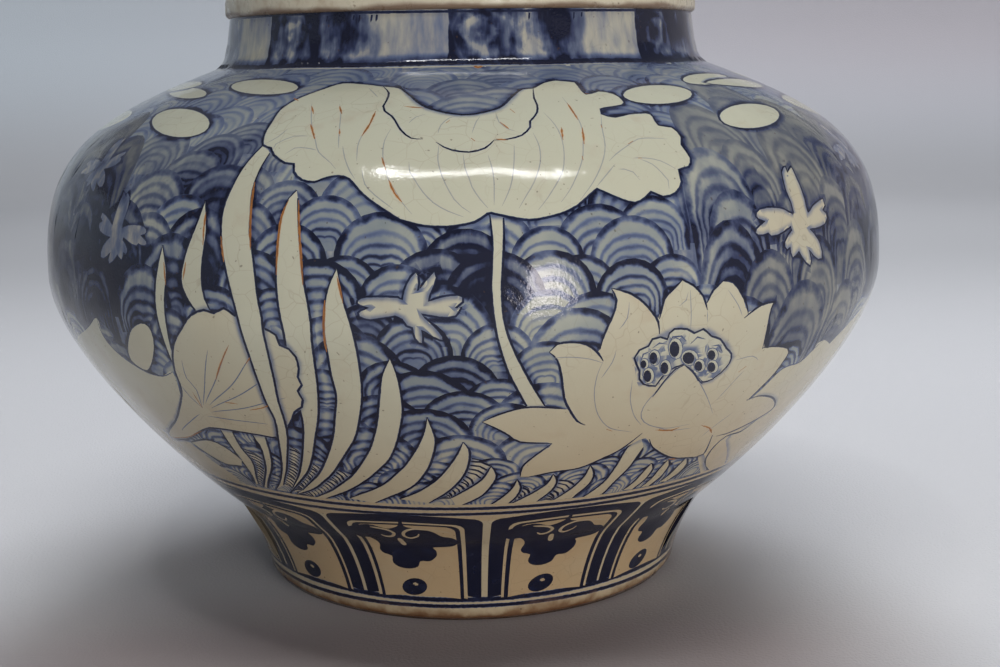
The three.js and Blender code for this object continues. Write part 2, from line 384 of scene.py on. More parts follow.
LEAF_VEINS = (
    ((409, 162), (410, 172), (415, 180), (423, 192), (434, 203), (448, 211), (464, 217)),
    ((439, 144), (438, 160), (442, 176), (446, 185), (454, 199), (462, 207), (471, 213)),
    ((463, 153), (465, 168), (469, 178), (472, 187), (480, 199), (488, 208)),
    ((488, 155), (492, 168), (494, 182), (494, 205)),
    ((514, 144), (514, 160), (512, 180), (508, 193), (502, 206)),
    ((533, 133), (539, 146), (540, 163), (534, 182), (527, 194), (519, 208)),
    ((543, 112), (555, 125), (562, 140), (564, 159), (561, 175), (548, 197), (538, 210)),
    ((562, 97), (569, 106), (577, 117), (582, 129), (583, 145), (582, 160), (576, 177),
     (569, 191), (561, 202)),
    ((601, 115), (602, 128), (605, 146), (602, 163), (593, 182), (580, 200)),
    ((668, 139), (652, 138), (638, 139), (627, 146), (616, 154), (609, 161)),
    ((676, 169), (661, 161), (646, 158), (633, 158)),
    ((669, 189), (668, 180), (661, 172), (652, 164), (640, 159)),
    ((640, 180), (633, 172), (624, 169), (618, 169)),
    ((597, 186), (606, 175), (615, 164)),
    ((312, 104), (312, 124), (316, 142), (319, 152), (331, 163), (336, 169)),
    ((340, 104), (341, 115), (339, 140), (339, 148)),
    ((343, 146), (345, 158), (350, 171), (355, 179)),
    ((376, 111), (370, 124), (362, 136), (358, 146), (357, 161)),
    ((391, 129), (385, 140), (383, 155), (386, 170), (389, 180), (402, 202), (412, 214)),
    ((362, 170), (365, 184), (375, 195), (393, 209)),
    ((285, 154), (295, 148), (307, 148), (317, 150)),
    ((273, 150), (276, 144), (286, 139), (295, 136), (309, 136)),
    ((265, 144), (278, 137), (288, 129)),
    ((438, 133), (441, 125), (449, 118), (456, 116)),
    ((409, 123), (416, 117), (426, 114)),
    ((472, 133), (476, 122), (480, 116)),
    ((496, 114), (499, 122), (508, 129), (515, 131)),
    ((369, 88), (378, 97)),
)
LEAF_STAINS = (
    ((312, 106), (314, 114)), ((311, 124), (315, 139)), ((340, 106), (342, 114)),
    ((340, 129), (340, 136)), ((376, 111), (370, 124), (362, 136)), ((382, 157), (386, 170)),
    ((389, 180), (394, 192), (402, 202)), ((404, 106), (412, 107), (424, 108)),
    ((567, 103), (573, 112), (578, 120)), ((582, 127), (583, 134), (584, 144)),
    ((561, 127), (563, 140)), ((582, 156), (583, 160)), ((496, 139), (508, 140)),
    ((500, 122), (509, 129)), ((471, 138), (475, 141)), ((585, 93), (589, 94)),
    ((601, 125), (602, 128)), ((628, 144), (633, 141)), ((638, 158), (642, 158)),
    ((446, 123), (450, 120)), ((510, 109), (515, 113)), ((294, 98), (299, 101)),
)
LEAF_STEM = (
    ((489, 208), (492, 240), (491.5, 265), (491, 290), (494, 320), (499, 345), (508, 372),
     (520, 395), (530, 412)),
    ((503, 208), (504, 240), (503, 265), (502, 290), (504, 318), (510, 340), (520, 362),
     (533, 386), (546, 408)),
)
WEEDS = (
    (((297, 190), (289, 198), (282, 216), (278, 240), (276, 266), (276, 285), (279, 312),
      (284, 335), (289, 365), (296, 395), (303, 424), (303, 443), (302, 459), (299, 475),
      (293, 488)),
     ((298, 198), (299, 232), (301, 254), (303, 275), (308, 303), (311, 323), (312, 340),
      (315, 363), (318, 387), (319, 411), (317, 431), (313, 457), (308, 472), (300, 482),
      (291, 493))),
    (((337, 268), (331, 280), (326, 295), (324, 312), (324, 335), (327, 352), (331, 375),
      (336, 396), (335, 414), (333, 436), (328, 454), (321, 470), (314, 479), (303, 490)),
     ((337, 268), (340, 282), (344, 303), (350, 321), (355, 340), (359, 361), (362, 385),
      (362, 403), (359, 424), (355, 439), (346, 454), (335, 471), (326, 480), (314, 489),
      (296, 495))),
    (((390, 358), (382, 375), (379, 398), (377, 421), (373, 439), (367, 454), (355, 472),
      (345, 481), (330, 491), (314, 498)),
     ((390, 358), (397, 375), (401, 392), (403, 411), (401, 426), (397, 443), (390, 459),
      (379, 470), (367, 480), (348, 491), (325, 499))),
    (((427, 417), (424, 431), (417, 447), (408, 461), (400, 470), (380, 486), (350, 498)),
     ((427, 417), (434, 433), (436, 442), (433, 457), (427, 471), (415, 485), (400, 493),
      (375, 503))),
    (((463, 442), (457, 454), (448, 467), (436, 480), (419, 491), (400, 499)),
     ((463, 442), (469, 449), (470, 458), (466, 472), (457, 484), (445, 494), (429, 503))),
    (((491, 466), (482, 479), (469, 488), (451, 498)),
     ((491, 466), (497, 475), (493, 484), (483, 495), (470, 502), (457, 507))),
    (((517, 479), (511, 489), (502, 497), (490, 505)),
     ((517, 479), (521, 487), (517, 496), (506, 506))),
    (((553, 474), (546, 484), (530, 494), (510, 504)),
     ((553, 474), (557, 480), (552, 490), (535, 503))),
    (((590, 465), (583, 477), (570, 489), (553, 500)),
     ((590, 465), (594, 473), (589, 484), (572, 498))),
    (((641, 438), (627, 447), (614, 468), (602, 483), (583, 497)),
     ((643, 447), (630, 466), (614, 482), (602, 494), (590, 499))),
    (((651, 463), (644, 470), (633, 482), (622, 490)),
     ((651, 463), (653, 468), (644, 480), (632, 489))),
    (((668, 459), (660, 467), (650, 479), (640, 487)),
     ((668, 459), (669, 465), (660, 477), (648, 486))),
    (((686, 457), (678, 465), (668, 475), (658, 482)),
     ((686, 457), (687, 463), (678, 473), (666, 481))),
    (((206, 200), (196, 225), (185, 255), (181, 280), (188, 300), (200, 316)),
     ((206, 200), (207, 230), (203, 258), (202, 280), (205, 298), (212, 314))),
    (((163, 245), (157, 270), (155, 300), (162, 335), (175, 368)),
     ((163, 245), (167, 272), (165, 300), (168, 330), (176, 362))),
    (((220, 428), (227, 440), (234, 450), (250, 472), (256, 484)),
     ((231, 428), (242, 448), (254, 464), (259, 484))),
    (((250, 430), (256, 440), (262, 450), (266, 470), (264, 487)),
     ((264, 430), (271, 454), (272, 470), (268, 488))),
    (((191, 442), (210, 440), (230, 450), (242, 460)),
     ((191, 442), (205, 452), (226, 464), (242, 466))),
)
WEED_STAINS = (
    ((299, 200), (299.5, 232), (301, 254), (303, 285)), ((255, 182), (251, 213), (250.5, 250)),
    ((289, 200), (282, 216), (278.5, 240), (276.5, 275)), ((337, 276), (343, 303)),
    ((325, 300), (324, 335), (327, 352)), ((206, 212), (203, 245)), ((186, 262), (183, 280)),
    ((221, 236), (224, 262)), ((164, 262), (166, 285)),
)
FRONT_WEED = (
    ((266, 143), (246, 164), (232, 187), (223, 210), (221, 236), (224, 262), (229, 285),
     (234, 304), (240, 327), (249, 355), (258, 381), (266, 402), (275, 420), (278, 436),
     (281, 456), (282, 470), (280, 482), (276, 490)),
    ((270, 153), (260, 170), (253, 190), (251, 213), (250, 232), (253, 254), (255, 272),
     (258, 298), (262, 318), (263, 329), (268, 352), (274, 378), (279, 402), (285, 421),
     (288, 436), (288, 452), (287, 470), (284, 485)),
)
WEED_GAPS = (WEEDS[15], WEEDS[16], FRONT_WEED, *WEEDS[:9])
RUNG_STEP, RUNG_LONGEST, RUNG_COUNT, RUNG_SAG = 2.4, 10.5, 17, 0.12
SMALL_LEAF = (
    (175, 370), (173, 355), (175, 341), (182, 328), (191, 315), (204, 310), (214, 313),
    (224, 308), (234, 315), (248, 322), (263, 328), (276, 335), (280, 345), (289, 349),
    (296, 357), (299, 369), (298, 377), (302, 385), (298, 391), (303, 400), (302, 407),
    (295, 412), (290, 424), (278, 437), (260, 435), (236, 431), (214, 428), (206, 429),
    (187, 439), (169, 436), (176, 420), (182, 395),
)
SMALL_LEAF_VEINS = (
    ((203, 408), (197, 390), (187, 378), (182, 360)), ((204, 405), (205, 385), (208, 350)),
    ((206, 403), (216, 380), (229, 345)), ((210, 405), (232, 385), (252, 355)),
    ((212, 408), (240, 395), (272, 375)), ((212, 412), (245, 408), (285, 398)),
    ((208, 416), (235, 420), (268, 424)), ((200, 414), (190, 422), (182, 430)),
    ((182, 386), (190, 396), (203, 408)),
)
SMALL_LEAF_STAINS = (
    ((229, 345), (216, 380)), ((250, 410), (262, 408), (272, 404)), ((193, 392), (203, 408)),
    ((172, 438), (188, 437), (202, 431)), ((225, 402), (238, 404)), ((252, 355), (246, 364)),
)
BUD = ((128, 352), (130, 332), (137, 324), (145, 323), (152, 331), (155, 346), (153, 362),
       (148, 371), (139, 367), (131, 360))
FLOWER = (
    (549, 352), (557, 344), (571, 342), (586, 344), (597, 352), (600, 349), (602, 340),
    (607, 327), (613, 314), (616, 304), (611, 288), (620, 290), (632, 294), (643, 302),
    (652, 312), (658, 318), (659, 315), (664, 299), (672, 290), (682, 280), (693, 285),
    (703, 296), (706, 304), (713, 290), (723, 281), (733, 282), (741, 293), (748, 312),
    (761, 305), (774, 302), (772, 306), (768, 324), (764, 347), (776, 346), (788, 348),
    (789, 352), (783, 362), (772, 376), (761, 387), (748, 400), (758, 396), (771, 397),
    (775, 403), (771, 410), (751, 422), (738, 432), (725, 440), (719, 471), (709, 471),
    (705, 466), (703, 454), (695, 457), (675, 458), (662, 454), (652, 447), (645, 438),
    (633, 443), (621, 449), (605, 457), (579, 468), (553, 472), (528, 477), (520, 477),
    (522, 467), (533, 457), (552, 443.5), (520, 442), (508, 435), (497, 429), (482, 422),
    (497, 415), (521, 408), (540, 407), (566, 409), (571, 410), (564, 398), (561, 375),
    (557, 360),
)
FLOWER_EDGES = (
    ((549, 352), (557, 344), (571, 342), (586, 344), (597, 352), (603, 361)),
    ((549, 352), (557, 360), (561, 375), (564, 398), (569, 409), (577, 421), (585, 425)),
    ((611, 288), (616, 300), (613, 314), (607, 327), (602, 340), (600, 349)),
    ((611, 288), (620, 290), (632, 294), (643, 302), (652, 312), (658, 322), (659, 334)),
    ((659, 319), (664, 299), (672, 290), (682, 280)),
    ((682, 280), (693, 285), (703, 296), (707, 310)),
    ((706, 304), (713, 290), (723, 281)),
    ((723, 281), (733, 282), (741, 293), (746, 303), (748, 314)),
    ((744, 318), (750, 313), (761, 305), (774, 302), (771, 310), (768, 324), (762, 349)),
    ((762, 348), (776, 346), (788, 348), (789, 352), (783, 362), (772, 376), (761, 387),
     (746, 401)),
    ((746, 400), (758, 396), (771, 397), (775, 403), (771, 410), (751, 422), (730, 432),
     (716, 436)),
    ((566, 409), (540, 407), (521, 408), (497, 415), (482, 422)),
    ((482, 422), (497, 429), (508, 435), (520, 442), (552, 443.5)),
    ((552, 443.5), (533, 457), (522, 467), (520, 477)),
    ((520, 477), (528, 477), (553, 472), (579, 468), (605, 457), (621, 449), (642, 433)),
    ((649, 439), (652, 447), (662, 454), (675, 458), (695, 457), (703, 454), (712, 435)),
    ((705, 466), (705, 459), (713, 447), (726, 436), (741, 431), (760, 417)),
    ((705, 466), (709, 471), (719, 471), (735, 458)),
)
FLOWER_LINES = (
    ((552, 358), (570, 357), (590, 359), (603, 363)),
    ((603, 361), (597, 375), (594, 395), (598, 415), (610, 428), (632, 432)),
    ((629, 302), (627, 318), (619, 329)), ((688, 292), (686, 300), (679, 306)),
    ((728, 290), (738, 305), (742, 316)), ((690, 290), (690, 330)),
    ((660, 335), (661, 345)), ((707, 310), (707, 322)), ((616, 350), (612, 362), (601, 378)),
    ((632, 380), (630, 400), (634, 416), (641, 425)), ((649, 425), (669, 430), (690, 428)),
    ((735, 360), (752, 356), (758, 360)), ((744, 370), (730, 385), (716, 400)),
    ((700, 437), (715, 425), (733, 412)),
)
FLOWER_STAINS = (
    ((655, 430), (672, 430), (679, 427)), ((701, 425), (709, 428), (711, 433)),
    ((606, 429), (612, 431)), ((738, 372), (746, 366)), ((668, 459), (676, 459)),
)
POD = (
    (634, 358), (639, 350), (648, 346), (652, 339), (660, 337), (667, 339), (669, 333),
    (674, 329), (687, 329), (694, 333), (703, 329), (711, 336), (720, 339), (726, 348),
    (731, 354), (729, 363), (720, 373), (712, 379), (702, 382), (697, 377), (690, 369),
    (683, 364.5), (675, 367), (666, 372), (658, 382), (655, 386), (643, 384), (639, 379),
    (639, 371),
)
POD_SCALLOPS = (
    ((640, 362), (643, 354), (650, 351)), ((652, 348), (659, 343), (667, 344)),
    ((669, 344), (672, 337), (681, 336), (686, 341)), ((690, 344), (697, 337), (705, 339)),
    ((711, 346), (718, 345), (722, 352)), ((661, 352), (664, 346)),
)
SEEDS = (
    (653, 358, 4, 6), (643, 364, 3, 4), (647, 376, 4, 6), (674, 349, 5, 8), (664, 368, 4, 6),
    (688, 358, 6, 6), (698, 366, 4, 5), (711, 355, 4, 5), (711, 367, 4, 5),
)
EGG_PETAL = (
    (684, 365), (672, 374), (655, 392), (643, 407), (641, 418), (649, 425), (666, 428),
    (689, 424), (712, 413), (707, 398), (700, 384), (692, 371),
)
EGG_EDGES = (
    ((652, 397), (664, 381), (675, 369), (684, 365)),
    ((684, 365), (692, 371), (698, 380), (702, 384)),
)
STAR_BLOSSOM = (
    (361, 297.7), (368, 296.3), (375, 296.3), (388, 296.3), (398, 297), (402, 299),
    (403.6, 290.6), (406.4, 283.4), (410.7, 276.3), (415.7, 271.3), (418.6, 275), (419.3, 283.4),
    (418, 290.6), (420.7, 286.3), (425, 280.6), (430.7, 274.1), (435, 270.6), (437, 277.7),
    (434.3, 286.3), (430.7, 294), (429, 300.6), (435, 298.4), (442, 296.3), (450.7, 295),
    (458, 294.6), (463.3, 296.3), (463, 302), (456, 308), (461.4, 307), (459.3, 312),
    (455.7, 316.3), (448, 318), (439.3, 317.4), (430.7, 316), (422, 314.5), (427, 319),
    (433.6, 325), (440, 332), (443, 336.3), (443.6, 340.6), (440, 340.3), (433.6, 337.7),
    (426.4, 333.4), (422.4, 330.6), (423.3, 337.7), (423, 344), (418.6, 343), (415, 339),
    (413, 333.4), (412, 328), (406.4, 326), (402, 319.5), (395, 316.3), (388, 317.7),
    (379.3, 319), (370.7, 320.3), (363.6, 319), (359, 317), (358, 312.7), (360.7, 310),
    (368, 308), (360, 306), (356.7, 303.4), (357.6, 300),
)
TALL_BLOSSOM = (
    (794, 213.6), (784.3, 208.6), (775.7, 207), (767, 207), (760, 208.6), (756.4, 212),
    (756, 216.4), (758.6, 219.3), (765, 221.7), (760.7, 224.3), (756.4, 228.6), (755.4, 233),
    (758.6, 235.7), (764.3, 235.4), (768.6, 233.6), (771.4, 236.7), (778.6, 235.4),
    (784.3, 232), (791.4, 227), (792, 230), (788.6, 234.3), (785, 241.4), (785, 247),
    (787.4, 250.3), (790.4, 248), (791, 253), (793, 258.6), (796.4, 255.7), (799.3, 252),
    (802, 257), (806.4, 263), (810.7, 266.4), (812, 260), (810, 250), (813.6, 255.7),
    (818.6, 260), (822.6, 259), (823, 251.4), (820.7, 243), (815.7, 234.3), (811, 229),
    (815.7, 229), (821.4, 227), (825.7, 224.3), (828, 218.6), (827, 213), (823.6, 210),
    (826, 205.7), (823.6, 198.3), (818.6, 200.7), (813, 205.7), (808.6, 211.7), (805.7, 200),
    (802, 188.6), (797, 177), (791.4, 166), (788, 172), (786, 166), (782, 171.4),
    (785.7, 188.6), (791.4, 203),
)
BLOSSOM_HEART = (800, 226)
FAR_BLOSSOMS = ((118, 236, -0.72, -6), (846, 150, 0.7, 12))
BLEED_WIDTH = 6.5


def ellipse(x, y, wide, high, count=20):
    turn = np.arange(count) * math.tau / count
    return np.stack([x - wide * np.cos(turn), y + high * np.sin(turn)], 1)


def counter_clockwise(ring):
    return ring if signed_area(ring) > 0 else ring[::-1]


def closed_shape(pixels, step=3.0):
    return counter_clockwise(smooth(traced(pixels), closed=True, step=step))


def bled(edge, closed=False, strength=0.5):
    """The haze of blue beside a line."""
    edge = np.append(edge, edge[:1]) if closed else edge
    spots = np.append(edge[:-1:2], edge[-1:])
    return [("stroke", spots, BLEED_WIDTH, strength, "halo", (0.3, 0.3))]


def edge_line(edge, width, strength, kind="ink"):
    """A stroke right round a closed edge."""
    return ("stroke", np.append(edge, edge[:1]), width, strength, kind, (1, 1))


def outlined(pixels, width, tone=0.0, wash=0.0, strength=0.95, bleed=0.45):
    """An area and the ink line round it."""
    edge = closed_shape(pixels)
    return [*bled(edge, True, bleed), ("area", edge, wash, tone), edge_line(edge, width, strength)]


def lines(groups, width, strength, kind="ink"):
    """Strokes through points of the picture, pointed at both ends."""
    return [("stroke", smooth(traced(line)), width, strength, kind, (0.3, 0.3)) for line in groups]


def weed(left, right):
    """A blade of water weed: its area, and its two edges in ink."""
    left, right = smooth(traced(left)), smooth(traced(right))
    blade = counter_clockwise(np.concatenate([left, right[::-1]]))
    edges = [("stroke", side, 1.35, 1.0, "ink", (0.4, 0.5)) for side in (left, right)]
    return [*bled(left), *bled(right), ("area", blade, 0.0, 0.12), *edges]


def ladder(left, right):
    """Short rungs across the narrow part of the gap between two blades of weed."""
    left, right = smooth(traced(left), step=RUNG_STEP), smooth(traced(right))
    gap = np.abs(left[:, None] - right)
    near = right[gap.argmin(axis=1)]
    wide = gap.min(axis=1) * metres_per_unit(left) / MM
    low = len(left) - int(np.argmax(wide[::-1] > RUNG_LONGEST))
    low = max(low, len(left) - RUNG_COUNT)
    left, near = left[low:], near[low:]
    if len(left) < 3:
        return []
    steps = [("area", counter_clockwise(np.concatenate([left, near[::-1]])), 0.05, 0.1)]
    for a, b in zip(left[:-1], near[1:]):
        line = np.array((a, (a + b) / 2 + RUNG_SAG * 1j * (b - a), b))
        steps.append(("stroke", line, 0.8 + 0.8 * rng.random(), 1.0, "ink", (1, 1)))
    return steps


def water_steps():
    """The bare water at both sides of the pond, and the floating pads."""
    steps = [("area", closed_shape(bare), 0.0, 0.3) for bare in (BARE_LEFT, BARE_RIGHT)]
    steps += lines((BARE_LEFT[:7], BARE_RIGHT[2:8]), 0.9, 0.7)
    for pad in PADS:
        steps += outlined(ellipse(*pad), 1.5, bleed=0.6)
    return steps


def blossom_steps():
    """The star and the tall blossom, and two faded ones of the tall kind farther round."""
    steps = []
    for pixels, tone, dimmed in ((STAR_BLOSSOM, 0.3, 0.48), (TALL_BLOSSOM, 0.6, 0.40)):
        edge = closed_shape(pixels)
        steps += [*bled(edge, True, 0.4), ("area", edge, 0.05, tone),
                  edge_line(edge, 6.0, dimmed, "halo"), edge_line(edge, 1.15, 0.95)]
    heart = traced([BLOSSOM_HEART])[0]
    blossom = (traced(TALL_BLOSSOM) - heart) * metres_per_unit(heart) / (heart / abs(heart))
    for x, y, size, lean in FAR_BLOSSOMS:
        middle = traced([(x, y)])[0]
        upright = middle / abs(middle) / metres_per_unit(middle)
        turned = np.conj(blossom) if size < 0 else blossom
        spread = abs(size) * turned * np.exp(1j * math.radians(lean)) * upright
        edge = counter_clockwise(smooth(middle + spread, closed=True))
        steps += [*bled(edge, True), ("area", edge, 0.42, 1.0), edge_line(edge, 0.9, 0.8)]
    return steps


def weed_steps():
    """Rungs in the gaps, the weeds over them, the bud, the small leaf and the front weed."""
    steps = []
    for before, after in zip(WEED_GAPS, WEED_GAPS[1:]):
        steps += ladder(before[1], after[0])
    for blade in WEEDS:
        steps += weed(*blade)
    return steps + [
        *outlined(BUD, 1.1, tone=0.5),
        *outlined(SMALL_LEAF, 1.3, tone=0.55),
        *lines(SMALL_LEAF_VEINS, 0.6, 0.45),
        *lines(SMALL_LEAF_STAINS, 1.0, 0.8, "rust"),
        *weed(*FRONT_WEED),
        *lines(WEED_STAINS, 1.3, 0.95, "rust"),
    ]


def leaf_steps():
    """The great leaf on its stem, with its drooping lip, its folds and its veins."""
    return [
        *weed(*LEAF_STEM),
        *outlined(LEAF, 1.35, bleed=0.6),
        *lines([LEAF_LIP], 7, 0.5, "halo"),
        *lines([LEAF_LIP], 1.9, 1.0),
        *lines(LEAF_FOLDS, 1.1, 0.95),
        *lines(LEAF_VEINS, 0.6, 0.26),
        *lines(LEAF_STAINS, 1.3, 1.0, "rust"),
    ]


def flower_steps():
    """The open lotus: its petals, its pod with the seeds, and the egg-shaped petal in front."""
    flower = closed_shape(FLOWER)
    steps = [
        *bled(flower, True, 0.4),
        ("area", flower, 0.0, 0.5),
        *lines(FLOWER_EDGES, 1.25, 1.0),
        *lines(FLOWER_LINES, 0.5, 0.33),
        *outlined(POD, 1.1, tone=0.1, wash=0.08),
        *lines(POD_SCALLOPS, 0.9, 0.6),
    ]
    for x, y, wide, high in SEEDS:
        hollow = ellipse(x + 1.2, y - 0.5, wide * 1.45, high * 1.35, 12)
        seed = counter_clockwise(traced(ellipse(x, y, wide, high, 12)))
        steps += [*outlined(hollow, 0.5, wash=0.1, strength=0.6), ("area", seed, 0.95, 0.0)]
    return steps + [
        ("area", closed_shape(EGG_PETAL), 0.0, 0.45),
        *lines([EGG_PETAL[8:] + EGG_PETAL[:8]], 0.6, 0.35),
        *lines(EGG_EDGES, 1.1, 0.9),
        *lines(FLOWER_STAINS, 1.4, 0.9, "rust"),
    ]


pond = [*water_steps(), *blossom_steps(), *weed_steps(), *leaf_steps(), *flower_steps()]
for degrees in POND_TURNS:
    turn = np.exp(1j * math.radians(degrees))
    for kind, points, *rest in pond:
        getattr(painter, kind)(points * turn, *rest)

# Foot panels
# Twelve upright panels stand round the foot, below a double line: dark bars round a white line,
# a thin dark line, and inside it a hanging cloud flower over a round bead. A frame is its half
# width in degrees, its top in mm, its wash and its tone. A line is its height and width in mm.
PANEL_COUNT, PANEL_MIDDLE = 12, -11.0
PANEL_FRAMES = (
    (14.5, 59.8, 1.0, 0.0), (11.1, 56.4, 0.0, 0.5), (10.4, 55.6, 1.0, 0.0),
    (9.5, 54.8, 0.0, 1.0),
)
PANEL_FOOT, PANEL_CORNER, CORNER_RISE = 11.6, 2.4, 2.1
LINE_WAVER = 0.35
PALE_BANDS = (66.0, 61.5)
FOOT_LINES = ((66.6, 3.0), (63.0, 3.0), (11.4, 3.2), (7.4, 2.5))
PENDANT = (
    (348, 528), (352, 532), (362, 536.5), (371, 537), (380.5, 543), (381, 549), (385.5, 553),
    (393, 555.5), (394, 562), (400, 566.5), (410, 568.5), (419, 566.5), (421.5, 561),
    (431, 561), (437.5, 556), (437, 550.5), (434, 547.5), (443, 547), (454, 546), (460, 542),
    (453, 538), (443, 536.5), (435, 532.5), (426.5, 530), (413, 528), (405, 526), (402.5, 521),
    (399.5, 521), (398, 526), (388, 528.5), (378, 526), (369.5, 524), (359, 524.5),
    (350, 526),
)
CURLS = (
    ((371, 526.5), (380, 528), (389, 530), (395, 533), (393, 536), (387, 536), (382, 534)),
    ((452, 533), (440, 531), (426, 529.5), (413, 529), (405, 532), (405.5, 536),
     (412, 538), (419, 536), (420, 534)),
)
DROP = ((400, 538), (403, 541.5), (406, 545))
BEAD = (415.6, 586.5, 12.5, 8.5)
BEAD_LIGHT = ((414, 583.5), (419, 584.5))


def panel_frame(half, top):
    """An upright panel with rounded upper corners, about the angle 0."""
    half, corner = math.radians(half), math.radians(PANEL_CORNER)
    low, high = run_at_height(PANEL_FOOT), run_at_height(top)
    round_part = np.linspace(0, math.pi / 2, 5)
    rise = PANEL_CORNER * CORNER_RISE * MM
    angles = np.concatenate([
        half - corner + corner * np.cos(round_part), -half + corner - corner * np.sin(round_part)])
    runs = np.concatenate([
        high - rise + rise * np.sin(round_part), high - rise + rise * np.cos(round_part)])
    side = np.linspace(low, high - rise, 9)[:-1]
    return flat(
        np.concatenate([np.full(8, half), angles, np.full(8, -half)]),
        np.concatenate([side, runs, side[::-1]]))


def ring_line(height, count=240, lift=0.0):
    """A hand-drawn line right round the jar at a height in mm."""
    angle = np.linspace(-math.pi, math.pi, count + 1)
    wave = LINE_WAVER * MM * np.sin(3 * angle + height) + lift * MM * np.sin(11 * angle + height)
    return flat(angle, run_at_height(height) + wave)


for height in PALE_BANDS:
    painter.stroke(ring_line(height), 8.0, kind="bare")
for height, width in FOOT_LINES:
    painter.stroke(ring_line(height), width)
pendant = closed_shape(PENDANT, step=1.5)
bead = counter_clockwise(traced(ellipse(*BEAD)))
PANEL_LIGHTS = (
    *((smooth(traced(curl), step=1.5), 1.5, (0.5, 0.4)) for curl in CURLS),
    (smooth(traced(DROP), step=1.0), 2.4, (0.3, 0.5)),
)
bead_light = smooth(traced(BEAD_LIGHT), step=1.0)
for i in range(PANEL_COUNT):
    lean = math.radians(PANEL_MIDDLE + i * 360 / PANEL_COUNT + 0.5 * (rng.random() - 0.5))
    turn = np.exp(1j * lean)
    for half, top, wash, tone in PANEL_FRAMES:
        edge = panel_frame(half + 0.3 * (rng.random() - 0.5), top + 0.4 * rng.random())
        painter.area(edge * turn, wash, tone)
    step = np.exp(1j * (lean - math.radians(PANEL_MIDDLE)))
    painter.area(pendant * step, 1.0)
    for line, width, ends in PANEL_LIGHTS:
        painter.stroke(line * step, width, kind="bare", ends=ends)
    painter.area(bead * step, 0.98)
    painter.stroke(bead_light * step, 1.9, kind="bare", ends=(0.4, 0.4))

# Neck band
# Eight broad brush patches stand round the neck, each with a heavy dark edge at its left. The
# glaze material brushes them. Here are the short strokes below the lip, the lines that bound the
# band, the faint strokes on the shoulder's edge and one rust stain.
NECK_PATCHES, NECK_FIRST = 8, -1.8
NECK_LINE, LIP_LINE = 247.2, 267.9
NECK_GROUND = (250.5, 263.5)
DASHES, DASHES_FROM, DASH_STEP, DASH_FOOT, DASH_TOP = 7, 17, 2.1, 263.5, 267
EDGE_STROKES, EDGE_STROKES_FROM, EDGE_STROKES_HIGH = 70, 241.2, 3.2
NECK_STAIN = ((474, 66), (478, 67.4), (482, 66))


def band_line(start, end, low, high, count):
    """A leaning line on the neck, from low at start to high at end."""
    share = np.linspace(0, 1, count)
    angle = np.radians(start + (end - start) * share)
    height = np.array([run_at_height(low + (high - low) * part) for part in share])
    return flat(angle, height)


for height in NECK_GROUND:
    painter.stroke(ring_line(height), 14.0, kind="bare")
for i in range(NECK_PATCHES):
    at = NECK_FIRST + i * 360 / NECK_PATCHES
    for j in range(DASHES):
        place = at + DASHES_FROM + DASH_STEP * j + rng.random()
        dash = band_line(place, place + 0.2, DASH_FOOT + 1.5 * rng.random(), DASH_TOP, 4)
        painter.stroke(dash, 0.9 + 0.4 * rng.random(), 0.95, ends=(0.2, 1))
painter.stroke(ring_line(LIP_LINE), 1.5, 0.9)
for i in range(EDGE_STROKES):
    height = EDGE_STROKES_FROM + EDGE_STROKES_HIGH * rng.random()
    start = 360 * rng.random()
    length = 14 + 26 * rng.random()
    line = band_line(start, start + length, height, height + rng.random() - 0.5, 14)
    width = 1.2 + 2.4 * rng.random()
    painter.stroke(line, width, 0.22 + 0.25 * rng.random(), ends=(0.1, 0.1))
painter.stroke(ring_line(NECK_LINE, 120, lift=0.3), 8.5, 0.6, "halo")
painter.stroke(ring_line(NECK_LINE - 0.6, lift=0.3), 4.2)
painter.stroke(traced(NECK_STAIN), 3.2, 1.0, "rust", (0.6, 0.6))
painter.drop_hidden()

# Skin
# All the shapes are cut into one net of triangles that covers the wall without a gap. Each
# triangle belongs to the ground, the ink, the rust and the haze that lie uppermost on it.
JOINT_SIDES = 240
NET_PITCH, NET_TOLERANCE = 4.5 * MM, 1e-6
SEAM_ANGLES = (-180, -60, 60)
GAP_WASH, BARE_TONE = 0.42, 0.5
joint_runs = [run_at_height(height) for height in (waist_height, belly_height, neck_height)]
joint_runs = [0.0, *joint_runs, float(run_up[-1])]
wave_edges = [abs(flat(0, run_at_height(height))) for height in (neck_height, WAVES_FROM)]


